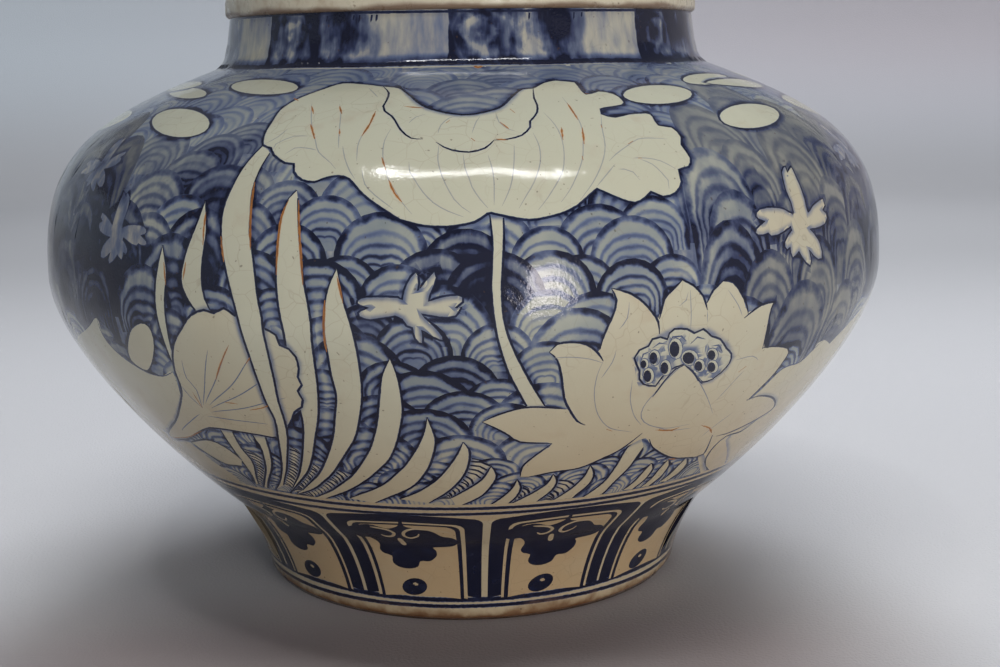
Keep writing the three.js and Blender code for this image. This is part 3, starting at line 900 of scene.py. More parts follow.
def cut_net():
    """The net's points, its triangles and the uppermost shapes on each triangle."""
    points, edges, faces = [], [], []
    for run in joint_runs:
        angle = np.arange(JOINT_SIDES) * math.tau / JOINT_SIDES
        start = len(points)
        points.extend(flat(angle, run))
        edges += [(start + i, start + (i + 1) % JOINT_SIDES) for i in range(JOINT_SIDES)]
    for degrees in SEAM_ANGLES:
        start = len(points)
        points.extend(flat(math.radians(degrees), np.array([0, run_up[-1]])))
        edges.append((start, start + 1))
    rows = round(run_up[-1] / NET_PITCH)
    for i in range(1, rows):
        run = run_up[-1] * i / rows
        around = math.tau * np.interp(run, run_up, outline[:, 0])
        count = round(around / NET_PITCH)
        points.extend(flat((np.arange(count) + 0.5 * (i % 2)) * math.tau / count, run))
    for ring, _ in painter.shapes:
        faces.append(list(range(len(points), len(points) + len(ring))))
        points.extend(ring)
    plane = [(point.real, point.imag) for point in points]
    found, _, triangles, _, _, owners = delaunay_2d_cdt(
        plane, edges, faces, 0, NET_TOLERANCE, True)
    net = np.array([complex(*point) for point in found])
    corners = np.array(triangles)
    middle = net[corners].mean(axis=1)
    outer, inner = abs(flat(0, 0.0)), abs(flat(0, run_up[-1]))
    keep = (np.abs(middle) < outer) & (np.abs(middle) > inner)
    heart = np.array([ring.mean() for ring, _ in painter.shapes])
    reach = np.array([np.abs(ring - ring.mean()).max() for ring, _ in painter.shapes])
    chosen = []
    for i in np.flatnonzero(keep):
        over = [one for one in owners[i] if abs(middle[i] - heart[one]) <= reach[one]]
        chosen.append(pick_owners(over))
    return net, corners[keep], middle[keep], chosen


def pick_owners(owners):
    """The uppermost area, ink, rust and haze among the shapes on a triangle, or -1."""
    top = {"area": -1, "ink": -1, "rust": -1, "halo": -1}
    for one in sorted(owners):
        kind = painter.shapes[one][1][0]
        if kind in ("area", "fan", "bare"):
            top = {"area": one, "ink": -1, "rust": -1, "halo": -1}
        else:
            top[kind] = one
    return tuple(top.values())


net, net_corners, net_middle, net_owners = cut_net()


def paint_of(points, owner):
    """Fan, ground, ink, rust and haze values at a triangle's corners."""
    area, *marks = owner
    count = len(points)
    fan, ground = np.zeros((count, 3)), np.zeros((count, 3))
    strokes = []
    if area >= 0:
        kind, *facts = painter.shapes[area][1]
        if kind == "fan":
            centre, unit, seed, wash, fade, tall = facts
            local = (points - centre) / unit * 1j
            fan = np.stack([local.real, local.imag / tall, np.full(count, seed)], 1)
            ground[:] = (1, wash, fade)
        else:
            ground[:] = (0, *facts) if kind == "area" else (0, 0, BARE_TONE)
    elif wave_edges[0] < abs(points[0]) < wave_edges[1]:
        ground[:] = (0, GAP_WASH, 0)
    for one in marks:
        if one < 0:
            strokes.append(np.zeros((count, 3)))
            continue
        _, start, end, half_start, half_end, strength, order = painter.shapes[one][1]
        way = end - start
        along = ((points - start) * np.conj(way)).real / abs(way) ** 2
        aside = ((points - start) * np.conj(way)).imag / abs(way)
        half = half_start + (half_end - half_start) * np.clip(along, 0, 1)
        across = np.clip(aside / (half + 1e-9), -1, 1)
        strokes.append(np.stack([across, np.full(count, strength), order + along], 1))
    return fan, ground, *strokes


# Wall sections
# Foot, lower bowl, upper bowl and neck, each a closed body of clay with its painted outside, its
# cut ends and its inside. The glaze closes over the joints, and the slip sits inside them. The
# insides are (radius, height) in mm, from the upper joint down.
FOOT, LOWER, UPPER, NECK = range(4)
WALL_SIDES = 180
PAINT_LABELS = ("fan", "ground", "ink", "rust", "halo")
OUTSIDE, CUT_END, INSIDE = range(3)
CUT_RINGS = 3
GLAZE_REACH = 0.9 * MM
INSIDE_SHARE = 0.12
MAP_MARGIN, MAP_ROWS = 0.004, 3
MAP_SECTOR = math.tau / MAP_ROWS
SHARP_EDGE = math.radians(35)
NORMAL_STEP = 1e-4
FOOT_INSIDE = ((108.16, 42.9), (104.7, 37.3), (100.2, 28.3), (96.4, 18.8), (93.57, 9.05),
               (89.0, 9.05), (89.0, 1.2), (89.4, 0.35), (90.2, 0.0))
LOWER_INSIDE = (
    (190.89, 152.4), (189.6, 145.4), (185.8, 135.6), (179.6, 124.3), (171.4, 112.1),
    (161.7, 99.4), (150.8, 86.7), (139.2, 74.2), (127.2, 62.5), (115.2, 51.8), (108.9, 44.1))
UPPER_INSIDE = (
    (107.4, 244.4), (110.3, 240.5), (116.1, 237.0), (132.0, 230.9), (145.6, 225.0),
    (157.0, 219.1), (166.3, 213.1), (173.7, 207.0), (179.5, 200.5), (183.8, 193.5),
    (187.1, 185.6), (189.3, 176.4), (190.6, 165.6), (191.0, 153.6))
NECK_INSIDE = ((101.4, 268.6), (101.6, 267.2), (102.6, 261.3), (103.4, 255.9), (104.6, 250.7),
               (106.5, 245.6))


def section_skin(part):
    """The skin of one section: its net triangles, its points, and its lower and upper rings."""
    low_run, high_run = joint_runs[part : part + 2]
    low_edge, high_edge = abs(flat(0, low_run)), abs(flat(0, high_run))
    mine = np.flatnonzero((np.abs(net_middle) < low_edge) & (np.abs(net_middle) > high_edge))
    used, local = np.unique(net_corners[mine], return_inverse=True)
    local = local.reshape(-1, 3)
    angle, run = unflat(net[used])
    angle[angle > math.pi - 1e-7] = -math.pi
    sides = dict.fromkeys((int(t[k]), int(t[(k + 1) % 3])) for t in local for k in range(3))
    rim = {point for a, b in sides if (b, a) not in sides for point in (a, b)}
    middle_run = (low_run + high_run) / 2
    low_ring = sorted((p for p in rim if run[p] < middle_run), key=lambda p: angle[p])
    high_ring = sorted((p for p in rim if run[p] > middle_run), key=lambda p: angle[p])
    run[low_ring], run[high_ring] = low_run, high_run
    return mine, local, angle, run, low_ring, high_ring


def inner_way(part, inside):
    """Radius and height of each ring, from the upper joint over the inside to the lower one."""
    (low_radius, low_height), (high_radius, high_height) = [
        [np.interp(run, run_up, outline[:, axis]) for axis in (0, 1)]
        for run in joint_runs[part : part + 2]]
    way = [(high_radius - GLAZE_REACH, high_height)]
    if part != NECK:
        way.append((way[0][0], inside[0][1] * MM))
    way += [(radius * MM, height * MM) for radius, height in inside]
    if part != FOOT:
        last = inside[-1][1] * MM
        deep = min(low_radius, np.interp(last, outline[:, 1], outline[:, 0])) - GLAZE_REACH
        way += [(deep, last), (deep, low_height)]
    return way


def spun(radius, height):
    """A ring of points at a radius and a height, and their angles."""
    angle = -math.pi + math.tau * np.arange(WALL_SIDES) / WALL_SIDES
    height = np.full(WALL_SIDES, height)
    return np.stack([radius * np.sin(angle), -radius * np.cos(angle), height], 1), angle


def zipped(first, first_angle, second, second_angle):
    """Triangles between two rings of points, both in the order of their angles."""
    made = []
    i = j = 0
    first_angle = [*first_angle, first_angle[0] + math.tau]
    second_angle = [*second_angle, second_angle[0] + math.tau]
    while i < len(first) or j < len(second):
        a, b = first[i % len(first)], second[j % len(second)]
        if j >= len(second) or (i < len(first) and first_angle[i + 1] <= second_angle[j + 1]):
            made.append((a, first[(i + 1) % len(first)], b))
            i += 1
        else:
            made.append((a, second[(j + 1) % len(second)], b))
            j += 1
    return made


def bake_map(mesh, spread, tall, row_height, widest):
    """The flat map for baking: a third of the way round in each of three rows."""
    centre = spread[:, :1]
    spread = centre + (spread - centre + math.pi) % math.tau - math.pi
    sector = np.floor((spread.mean(axis=1) + math.pi) / MAP_SECTOR + 1e-9)[:, None]
    side = max(widest, MAP_ROWS * row_height) * (1 + 2 * MAP_ROWS * MAP_MARGIN)
    across = (spread + math.pi - sector * MAP_SECTOR) / MAP_SECTOR
    row = sector.astype(int) % MAP_ROWS
    u = MAP_MARGIN + across * widest / side
    v = MAP_MARGIN + (tall + row * row_height) / side + row * MAP_MARGIN
    flat_map = mesh.uv_layers.new(name="OFBake")
    flat_map.data.foreach_set("uv", np.stack([u, v], -1).astype(np.float32).ravel())


def paint_layers(mesh, mine):
    """Stores the painting's values at every corner of the mesh. They are nought inside."""
    values = [np.zeros((len(mesh.polygons), 3, 3), np.float32) for _ in PAINT_LABELS]
    for k, one in enumerate(mine):
        for value, made in zip(values, paint_of(net[net_corners[one]], net_owners[one])):
            value[k] = made
    for label, value in zip(PAINT_LABELS, values):
        layer = mesh.attributes.new(label, "FLOAT_VECTOR", "CORNER")
        layer.data.foreach_set("vector", value.ravel())


def outer_normals(mesh, local, angle, run):
    """Shades the painted outside as the smooth wall that it follows."""
    turned = surface(angle + NORMAL_STEP, run) - surface(angle - NORMAL_STEP, run)
    low, high = np.maximum(run - NORMAL_STEP, 0), np.minimum(run + NORMAL_STEP, run_up[-1])
    facing = np.cross(turned, surface(angle, high) - surface(angle, low))
    facing /= np.linalg.norm(facing, axis=1)[:, None]
    normals = np.zeros((len(mesh.loops), 3))
    normals[: local.size] = facing[local.ravel()]
    mesh.normals_split_custom_set(normals.tolist())


def add_piece(name, mesh, node, materials):
    """Puts a mesh in the scene as the piece that stands for a node."""
    for material in materials:
        mesh.materials.append(material)
    piece = bpy.data.objects.new(name, mesh)
    bpy.context.scene.collection.objects.link(piece)
    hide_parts(node)
    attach(piece, "root")


def wall_section(name, part, node, inside, materials):
    """One section: the skin between two joints, its cut ends and its inside."""
    mine, local, angle, run, low_ring, high_ring = section_skin(part)
    low_run, high_run = joint_runs[part : part + 2]
    way = inner_way(part, inside)
    way_run = np.concatenate([[0], np.cumsum(np.hypot(*np.diff(np.array(way), axis=0).T))])
    map_up = [high_run - low_run + GLAZE_REACH + INSIDE_SHARE * step for step in way_run]
    map_height, map_angle = list(run - low_run), list(angle)
    places = [surface(angle, run)]
    triangles = [tuple(triangle) for triangle in local]
    kinds = [OUTSIDE] * len(triangles)
    ring, ring_angle = high_ring, angle[high_ring]
    for k, (radius, height) in enumerate(way):
        spots, next_angle = spun(radius, height)
        following = list(range(len(map_angle), len(map_angle) + WALL_SIDES))
        places.append(spots)
        map_angle += list(next_angle)
        map_height += [map_up[k]] * WALL_SIDES
        added = zipped(ring, ring_angle, following, next_angle)
        triangles += added
        cut = k < CUT_RINGS or k > len(way) - CUT_RINGS
        kinds += [CUT_END if cut else INSIDE] * len(added)
        ring, ring_angle = following, next_angle
    closing = zipped(ring, ring_angle, low_ring, angle[low_ring])
    triangles += closing
    kinds += [CUT_END] * len(closing)

    mesh = bpy.data.meshes.new(name)
    corners = np.array(triangles)
    mesh.from_pydata(np.concatenate(places).tolist(), [], corners.tolist())
    mesh.polygons.foreach_set("material_index", kinds)
    row_height = map_up[-1] + GLAZE_REACH
    tall = np.array(map_height)[corners]
    tall[-len(closing):][np.isin(corners[-len(closing):], low_ring)] = row_height
    widest = MAP_SECTOR * max(outline[(run_up >= low_run) & (run_up <= high_run), 0])
    bake_map(mesh, np.array(map_angle)[corners], tall, row_height, widest)
    paint_layers(mesh, mine)
    mesh.shade_smooth()
    mesh.set_sharp_from_angle(angle=SHARP_EDGE)
    outer_normals(mesh, local, angle, run)
    add_piece(name, mesh, node, materials)


# Glaze
# Cobalt under a thick greenish glaze: every fan has a heavy outer stroke and thinner ones inside
# it, with washes and brush marks. Iron has burnt rust-brown spots, and the glaze is crazed, pitted
# and slightly wavy. Toward the foot the clay shows through it in tan.
GLAZE_PALE, GLAZE_TAN = (0.405, 0.405, 0.315), (0.37, 0.275, 0.16)
COBALT_LIGHT, COBALT_DEEP = (0.090, 0.116, 0.190), (0.026, 0.035, 0.080)
COBALT_DARK = (0.0065, 0.008, 0.021)
WATER_GREY, INK_GREY = (0.180, 0.208, 0.204), (0.078, 0.084, 0.096)
FADED_GREY, CRAZE_BROWN = (0.152, 0.146, 0.138), (0.17, 0.14, 0.09)
RUST_ORANGE, RUST_BROWN = (0.36, 0.155, 0.04), (0.215, 0.082, 0.018)
RUST_CORE, SPECK_BROWN = (0.11, 0.036, 0.012), (0.05, 0.03, 0.02)
# The foot's browns are burnt iron, made darker as painted shade.
FOOT_BROWN_AND_SHADE, FOOT_SCORCH_AND_SHADE = (0.150, 0.082, 0.040), (0.09, 0.038, 0.016)
TAN_FROM, TAN_TO = 0.05, 0.15
SHOULDER_EDGE = 0.2452


class Wire:
    """An output of a material's nodes. Sums and products of wires add Math nodes."""

    def __init__(self, socket):
        self.socket = socket

    def node(self, kind, settings, inputs, out=0):
        """Adds a node, sets it, joins its inputs and gives the wire of one output."""
        tree = self.socket.id_data
        made = tree.nodes.new("ShaderNode" + kind)
        for key, value in settings.items():
            setattr(made, key, value)
        for key, value in inputs.items():
            if isinstance(value, Wire):
                tree.links.new(value.socket, made.inputs[key])
            else:
                made.inputs[key].default_value = value
        return Wire(made.outputs[out])

    def math(self, operation, *others):
        values = dict(enumerate((self, *others)))
        return self.node("Math", {"operation": operation}, values)

    def __add__(self, other):
        return self.math("ADD", other)

    __radd__ = __add__

    def __mul__(self, other):
        return self.math("MULTIPLY", other)

    __rmul__ = __mul__

    def __sub__(self, other):
        return self.math("SUBTRACT", other)

    def __rsub__(self, other):
        return self.node("Math", {"operation": "SUBTRACT"}, {0: other, 1: self})

    def __abs__(self):
        return self.math("ABSOLUTE")

    def most(self, other):
        return self.math("MAXIMUM", other)

    def least(self, other):
        return self.math("MINIMUM", other)

    def hypot(self, other):
        return (self * self + other * other).math("SQRT")

    def ramp(self, low, high, start=0.0, end=1.0):
        """Runs smoothly from start to end as the wire goes from low to high."""
        values = {"Value": self, "From Min": low, "From Max": high, "To Min": start, "To Max": end}
        return self.node("MapRange", {"interpolation_type": "SMOOTHSTEP"}, values)

    def noise(self, scale, detail=2.0, roughness=0.5):
        values = {"Vector": self, "Scale": scale, "Detail": detail, "Roughness": roughness}
        return self.node("TexNoise", {}, values)

    def flattened(self, height):
        """The place with its height scaled, so that a noise on it is drawn out upward."""
        return self.node("Mapping", {}, {"Vector": self, "Scale": (1, 1, height)})

    def part(self, axis):
        return self.node("SeparateXYZ", {}, {"Vector": self}, axis)

    def colour(self, colour):
        """A plain colour in the same material."""
        made = self.node("RGB", {}, {})
        made.socket.default_value = (*colour, 1)
        return made

    def mixed(self, share, colour):
        """This colour, giving way to another one by a share from 0 to 1."""
        colour = colour if isinstance(colour, Wire) else (*colour, 1)
        return self.node("Mix", {"data_type": "RGBA"}, {0: share, 6: self, 7: colour}, 2)


def new_material(name, roughness):
    """A material, its place wire and its shader."""
    material = bpy.data.materials.new(name)
    material.use_nodes = True
    shader = material.node_tree.nodes["Principled BSDF"]
    shader.inputs["Roughness"].default_value = roughness
    place = Wire(material.node_tree.nodes.new("ShaderNodeTexCoord").outputs["Object"])
    return material, place, shader


def joined(shader, **wires):
    for label, wire in wires.items():
        socket = shader.inputs[label.replace("_", " ")]
        socket.id_data.links.new(wire.socket, socket)


def bumped(shader, *layers):
    """Joins bumps of (height wire, depth in metres) one over the other to the shader."""
    normal = None
    for height, depth in layers:
        values = {"Height": height, "Distance": depth, "Strength": 1.0}
        if normal:
            values["Normal"] = normal
        normal = height.node("Bump", {}, values)
    joined(shader, Normal=normal)


def glaze_noises(place):
    """Uneven firing, brush marks, fine grain and upward streaks, each of them about nought."""
    streak = place.flattened(0.2).noise(260, 3)
    noises = place.noise(34, 3), place.noise(150, 3), place.noise(620, 2), streak
    return [noise - 0.5 for noise in noises]


def wave_density(fan, wash, fade, clear, height, noises):
    """Cobalt of the waves: a heavy arch along each fan, thinner ones inside it, and washes."""
    slow, brush, fine, streak = noises
    seed, across, up = fan.part(2), fan.part(0), fan.part(1)
    reach = across.hypot(up.most(0.0)) + brush * 0.13 + fine * 0.04
    sunk = (up + (1 - reach) * (0.2 + 0.3 * seed)).most(0.0)
    nested = across.hypot(sunk) + brush * 0.11 + fine * 0.04
    phase = (0.84 - nested) * (5.0 + seed * 3.0)
    stroke = phase.math("FRACT")
    number = phase.math("FLOOR") + seed * 37
    force = number.node("TexWhiteNoise", {"noise_dimensions": "1D"}, {"W": number})
    thin = stroke.ramp(0.12, 0.45) * stroke.ramp(0.5, 0.92, 1, 0) * phase.ramp(-0.05, 0.05)
    thin = thin * nested.ramp(0.16, 0.36)
    heavy = reach.ramp(0.80, 0.94) * reach.ramp(0.97, 1.05, 1, 0.5)
    waves = (thin * (0.28 + 0.42 * force)).most(heavy * (0.70 + 1.5 * brush + 0.5 * slow))
    pool = (seed * 7.31).math("FRACT")
    pool = (pool * pool * 0.34 + wash * 0.8) * nested.ramp(0.95, 0.45)
    pool = (pool + heavy.ramp(0.0, 0.6) * 0.12) * (0.75 + 1.5 * (brush + slow))
    soaked = wash * (0.32 + 1.2 * streak) + wash.ramp(0.7, 1.0, 0, 0.34)
    soaked = (pool + soaked + 0.08 + 0.35 * slow + 0.2 * brush) * clear
    waves = (waves + soaked).most(0.0) * slow.ramp(-0.16, 0.2, 0.72, 1.12)
    return waves * height.ramp(0.170, 0.225, 1.0, 0.36) * (1 - 0.35 * fade)


def neck_density(place, height, noises):
    """Cobalt of the neck's patches: a dark bar, a swirl beside it and a cloudy, fading wash."""
    _, brush, _, streak = noises
    turn = place.part(0).math("ARCTAN2", place.part(1) * -1)
    patch = (turn * (NECK_PATCHES / math.tau) - math.radians(NECK_FIRST) * NECK_PATCHES
             / math.tau + brush * 0.02).math("FRACT")
    cloud = place.flattened(0.55).noise(62, 3) - 0.5
    blob_side, blob_rise = (patch - 0.15) * 78, (height - 0.2585) * 1000
    blob = blob_side.hypot(blob_rise) + brush * 8 + cloud * 6
    swirl = blob.math("SINE") * blob.ramp(8, 16, 0.17, 0.0) * blob_rise.ramp(-9, -2)
    body = patch.ramp(0.0, 0.02) * patch.ramp(0.52, 0.80, 1, 0)
    deep = height.ramp(0.247, 0.260, 0.56, 0.86)
    body = body * (deep + 2.6 * cloud + 1.3 * streak + 0.8 * brush + swirl)
    bar = patch.ramp(0.0, 0.012) * patch.ramp(0.015, 0.13, 1, 0) * (0.9 + 2.6 * cloud + brush)
    return height.ramp(0.2456, 0.2464) * body.most(bar)


def crazed(place, bare):
    """Brown in the fine cracks of the glaze, where they have opened, and in soft blotches."""
    shift = {0: place.node("TexNoise", {}, {"Vector": place, "Scale": 70.0}, 1),
             1: (0.008, 0.008, 0.008), 2: place}
    bent = place.node("VectorMath", {"operation": "MULTIPLY_ADD"}, shift)
    cells = {"Vector": bent, "Scale": 120.0}
    crack = bent.node("TexVoronoi", {"feature": "DISTANCE_TO_EDGE"}, cells)
    crack = crack.ramp(0.0, 0.03, 1, 0) * place.noise(24, 2).ramp(0.42, 0.60)
    blotch = place.noise(55, 4).ramp(0.60, 0.78)
    return bare.mixed(crack * 0.24, CRAZE_BROWN).mixed(blotch * 0.14, RUST_BROWN)


def burnt(place, height, rust, colour, noises):
    """Iron in the glaze: the browned, scorched foot with painted shade, the rust strokes and dark
    specks.
    """
    slow, brush, fine, _ = noises
    # The lowest band of the foot is iron brown, darkened toward the bottom edge as painted shade.
    rim = (height + (brush + slow) * 0.008).ramp(0.0085, 0.0020, 0.0, 0.9)
    scorch_and_shade = (height + brush * 0.006).ramp(0.0045, 0.0005, 0.0, 0.85)
    colour = colour.mixed(rim, FOOT_BROWN_AND_SHADE).mixed(scorch_and_shade, FOOT_SCORCH_AND_SHADE)
    aside, strength = abs(rust.part(0)), rust.part(1)
    stain = strength * (aside + fine * 1.2 + brush * 0.5).ramp(0.30, 1.0, 1, 0)
    core = (aside + brush).ramp(0.1, 0.5, 0.8, 0) * strength
    speck = place.noise(700, 0).ramp(0.82, 0.84) * 0.5
    return colour.mixed(stain, RUST_ORANGE).mixed(core, RUST_CORE).mixed(speck, SPECK_BROWN)


def glaze_material():
    """The painted glaze, from the paint layers of the skin."""
    material, place, shader = new_material("painted_glaze", 0.1)
    shader.inputs["Specular IOR Level"].default_value = 0.42
    fan, ground, ink, rust, halo = [
        place.node("Attribute", {"attribute_name": label}, {}, "Vector") for label in PAINT_LABELS]
    noises = slow, brush, fine, streak = glaze_noises(place)
    height = place.part(2)
    on_waves, wash, tone = ground.part(0), ground.part(1), ground.part(2)
    still = 1 - on_waves
    fade = tone * on_waves
    clear = height.ramp(0.080, 0.115, 0.45, 1.0)

    waves = wave_density(fan, wash, fade, clear, height, noises)
    haze = height.ramp(0.185, 0.240, 0.0, 0.28) * (1 + 1.2 * slow)
    tint = on_waves * (waves + haze * 0.8)
    spread = 3.0 * (streak + 0.4 * brush) * (1.05 - wash)
    washed = wash * still * (0.98 + 0.35 * brush + spread)
    stain = height.ramp(SHOULDER_EDGE, SHOULDER_EDGE + MM, 0.0, 0.26)
    stain = stain * (1 + 2.0 * streak + 1.8 * slow)
    neck = neck_density(place, height, noises)
    bleed = halo.part(1) * abs(halo.part(0)).ramp(0.1, 1.0, 1, 0) * (0.9 + 1.2 * brush)
    edge = abs(ink.part(0)) + fine * 0.55 + brush * 0.25
    line = ink.part(1) * edge.ramp(0.50, 1.04, 1, 0) * (0.96 + 0.5 * brush)
    density = tint.most(washed).most(stain).most(neck) + bleed * 0.8
    density = density.most(line).least(1.0)

    tan = (height + slow * 0.03).ramp(TAN_FROM, TAN_TO, 0.6, 0.0)
    tan = (tan + tone * still * 0.42 * (1 + 2 * slow)).least(1)
    bare = place.colour(GLAZE_PALE).mixed(tan, GLAZE_TAN)
    bare = bare.mixed(on_waves * clear * (0.68 + 1.6 * slow), WATER_GREY)
    bare = crazed(place, bare.mixed(fade, FADED_GREY))
    grey = (fade + neck * 0.7 + wash * 0.6).least(1)
    cobalt = place.colour(COBALT_LIGHT).mixed(grey, INK_GREY)
    blue = bare.mixed(density.ramp(0.0, 0.5), cobalt)
    blue = blue.mixed(density.ramp(0.38, 0.78), COBALT_DEEP)
    blue = blue.mixed(density.ramp(0.66, 1.0), COBALT_DARK)
    colour = burnt(place, height, rust, blue, noises)
    joined(shader, Base_Color=colour, Roughness=fine.ramp(-0.2, 0.25, 0.06, 0.14))
    bumped(shader, (place.noise(30, 2), 0.0011), (place.noise(850, 2), 0.00005))
    return material


# Bare and inner surfaces
# The clay of the foot ring is unglazed and burnt orange where the fire touched it. The inside
# has a thin clear glaze over the marks of throwing.
INNER_CREAM, INNER_SHADE = (0.36, 0.35, 0.29), (0.27, 0.23, 0.17)
CLAY_PALE, CLAY_SHADE, CLAY_BURNT = (0.42, 0.33, 0.235), (0.27, 0.19, 0.12), (0.25, 0.085, 0.02)


def inside_material():
    """A thin glaze over throwing rings, with a few rust spots."""
    material, place, shader = new_material("inner_glaze", 0.3)
    turn = place.noise(30, 3)
    spots = place.noise(240, 3).ramp(0.6, 0.75)
    colour = place.colour(INNER_CREAM).mixed(turn.ramp(0.35, 0.7, 0, 0.5), INNER_SHADE)
    joined(shader, Base_Color=colour.mixed(spots * 0.3, RUST_BROWN))
    rings = (place.part(2) * 950 + turn * 2).math("SINE")
    bumped(shader, (rings, 0.00012), (place.noise(400, 2), 0.00005))
    return material


def clay_material():
    """Bare white clay, with orange burnt into its lowest edge."""
    material, place, shader = new_material("bare_clay", 0.78)
    grain = place.noise(130, 5, 0.65)
    shade = place.colour(CLAY_PALE).mixed(grain.ramp(0.4, 0.72), CLAY_SHADE)
    burn = (place.part(2) + (grain - 0.5) * 0.006).ramp(0.0005, 0.006, 1, 0)
    joined(shader, Base_Color=shade.mixed(burn * 0.85, CLAY_BURNT))
    bumped(shader, (place.noise(900, 4), 0.00014), (grain, 0.0003))
    return material


painted = glaze_material()
inner_glaze = inside_material()
bare_clay = clay_material()
wall_finish = (painted, bare_clay, inner_glaze)
wall_section("painted_foot", FOOT, "foot_section", FOOT_INSIDE, wall_finish)
wall_section(
    "painted_lower_bowl", LOWER, "lower_body", LOWER_INSIDE, wall_finish)
wall_section(
    "painted_upper_bowl", UPPER, "upper_body", UPPER_INSIDE, wall_finish)
wall_section("painted_neck", NECK, "neck_collar", NECK_INSIDE, wall_finish)

# Lip
# A coil of clay rolled on to the neck, full outside and flat on top. Its creamy glaze is thin,
# and it has run and burnt brown along the lower edge.
LIP_INNER, LIP_OUTER, LIP_TOP = 101.4, 112.5, 280.0
LIP_ROUNDS = ((LIP_OUTER, lip_height, 2.6, -90), (LIP_OUTER, LIP_TOP, 4.2, 0),
              (LIP_INNER, LIP_TOP, 3.2, 90))
LIP_SIDES, PIECE_SIDES = 240, 180
PIECE_SHARP_EDGE = math.radians(40)
LIP_CREAM, LIP_SHADE = (0.47, 0.43, 0.33), (0.30, 0.22, 0.14)
LIP_BURNT, LIP_SPECK = (0.13, 0.075, 0.045), (0.10, 0.055, 0.03)


def rounded(radius, height, round_radius, start, steps=6):
    """A quarter round in a corner at a radius and a height, from a start angle."""
    turn = np.radians(start + np.linspace(0, 90, steps))
    out = 1 if start < 90 else -1
    rise = -1 if start < 0 else 1
    return [(radius + round_radius * (math.cos(t) - out),
             height + round_radius * (math.sin(t) - rise)) for t in turn]


def turned_piece(name, node, line, materials, sides=PIECE_SIDES, ripple=None, chosen=None):
    """A closed body turned round the jar's axis from an outline in mm.

    ripple moves the points of a ring, and chosen gives the material of a row of faces."""
    bm = bmesh.new()
    angle = np.arange(sides) * math.tau / sides
    rings = []
    for radius, height in line:
        if radius == 0:
            rings.append([bm.verts.new((0, 0, height * MM))] * sides)
            continue
        grown, lifted = ripple(radius, height, angle) if ripple else (radius, height)
        grown, lifted = np.broadcast_to(grown, sides), np.broadcast_to(lifted, sides)
        spots = zip(grown * np.sin(angle) * MM, -grown * np.cos(angle) * MM, lifted * MM)
        rings.append([bm.verts.new(spot) for spot in spots])
    pairs = list(zip(rings, rings[1:]))
    if line[0][0] and line[-1][0]:
        pairs.append((rings[-1], rings[0]))
    for k, (first, second) in enumerate(pairs):
        for i in range(sides):
            j = (i + 1) % sides
            around = dict.fromkeys((first[i], first[j], second[j], second[i]))
            face = bm.faces.new(list(around))
            face.smooth = True
            face.material_index = chosen(k) if chosen else 0
    bmesh.ops.recalc_face_normals(bm, faces=bm.faces)
    mesh = bpy.data.meshes.new(name)
    bm.to_mesh(mesh)
    bm.free()
    mesh.set_sharp_from_angle(angle=PIECE_SHARP_EDGE)
    add_piece(name, mesh, node, materials)


def lip_material():
    """A thin creamy glaze, burnt along its lower edge and finely specked."""
    material, place, shader = new_material("lip_glaze", 0.33)
    grain = place.noise(160, 4, 0.6)
    broad = place.noise(38, 3)
    height = place.part(2) + (broad - 0.5) * 0.006
    colour = place.colour(LIP_CREAM).mixed(grain.ramp(0.48, 0.74) * 0.5, LIP_SHADE)
    colour = colour.mixed(height.ramp(0.2695, 0.2718, 0.85, 0.0), LIP_BURNT)
    colour = colour.mixed(place.noise(420, 2).ramp(0.66, 0.74) * 0.6, LIP_SPECK)
    joined(shader, Base_Color=colour, Roughness=grain.ramp(0.3, 0.7, 0.22, 0.5))
    bumped(shader, (broad, 0.0006), (place.noise(500, 3), 0.00008))
    return material


def lip_ripple(radius, height, angle):
    """The coil's slight swellings, strongest at its outer top."""
    share = (height - lip_height) / (LIP_TOP - lip_height)
    outer = (radius - LIP_INNER) / (LIP_OUTER - LIP_INNER)
    grown = radius - 0.25 * outer * share * (1 + np.sin(3 * angle + 1) * np.cos(7 * angle))
    swell = 1 + 0.6 * np.sin(4 * angle) + 0.4 * np.sin(9 * angle + 2)
    return grown, height - 0.3 * share * swell


lip_line = [(LIP_INNER, lip_height)]
for corner in LIP_ROUNDS:
    lip_line += rounded(*corner)
turned_piece(
    "rolled_lip", "mouth_rim", lip_line, [lip_material()], LIP_SIDES, lip_ripple)

# Floor
# A thrown disc let into the foot from inside. Its dished top is glazed with the inside, and its
# underside, high in the foot ring, is bare and keeps the spiral of the trimming tool.
DISC_RADIUS, DISC_LOW, DISC_HIGH, DISC_DISH = 93.3, 9.0, 20.0, 18.5
DISC_FLAT, TOOL_DEPTH, THROWN_DEPTH = 79.3, 0.35, 0.2


def floor_ripple(radius, height, angle):
    """The spiral of the tool below and of the fingers above."""
    if height < DISC_LOW + 0.5:
        lift = TOOL_DEPTH * (1 - np.cos(radius * 0.9 + angle)) / 2 * (radius < DISC_RADIUS - 3)
        return radius, height + lift
    sunk = THROWN_DEPTH * (1 + np.sin(radius * 0.35 + angle)) * (radius < DISC_FLAT)
    return radius, height - sunk


under = [(float(r), DISC_LOW) for r in np.linspace(0, DISC_RADIUS, 48)]
top = [(float(r), DISC_DISH + (DISC_HIGH - DISC_DISH) * float(r / DISC_FLAT) ** 2)
       for r in np.linspace(DISC_FLAT, 0, 24)]
disc_line = under + [(DISC_RADIUS, DISC_HIGH)] + top
turned_piece("jar_floor", "base_disc", disc_line, [bare_clay, inner_glaze],
             ripple=floor_ripple, chosen=lambda k: int(k > len(under)))

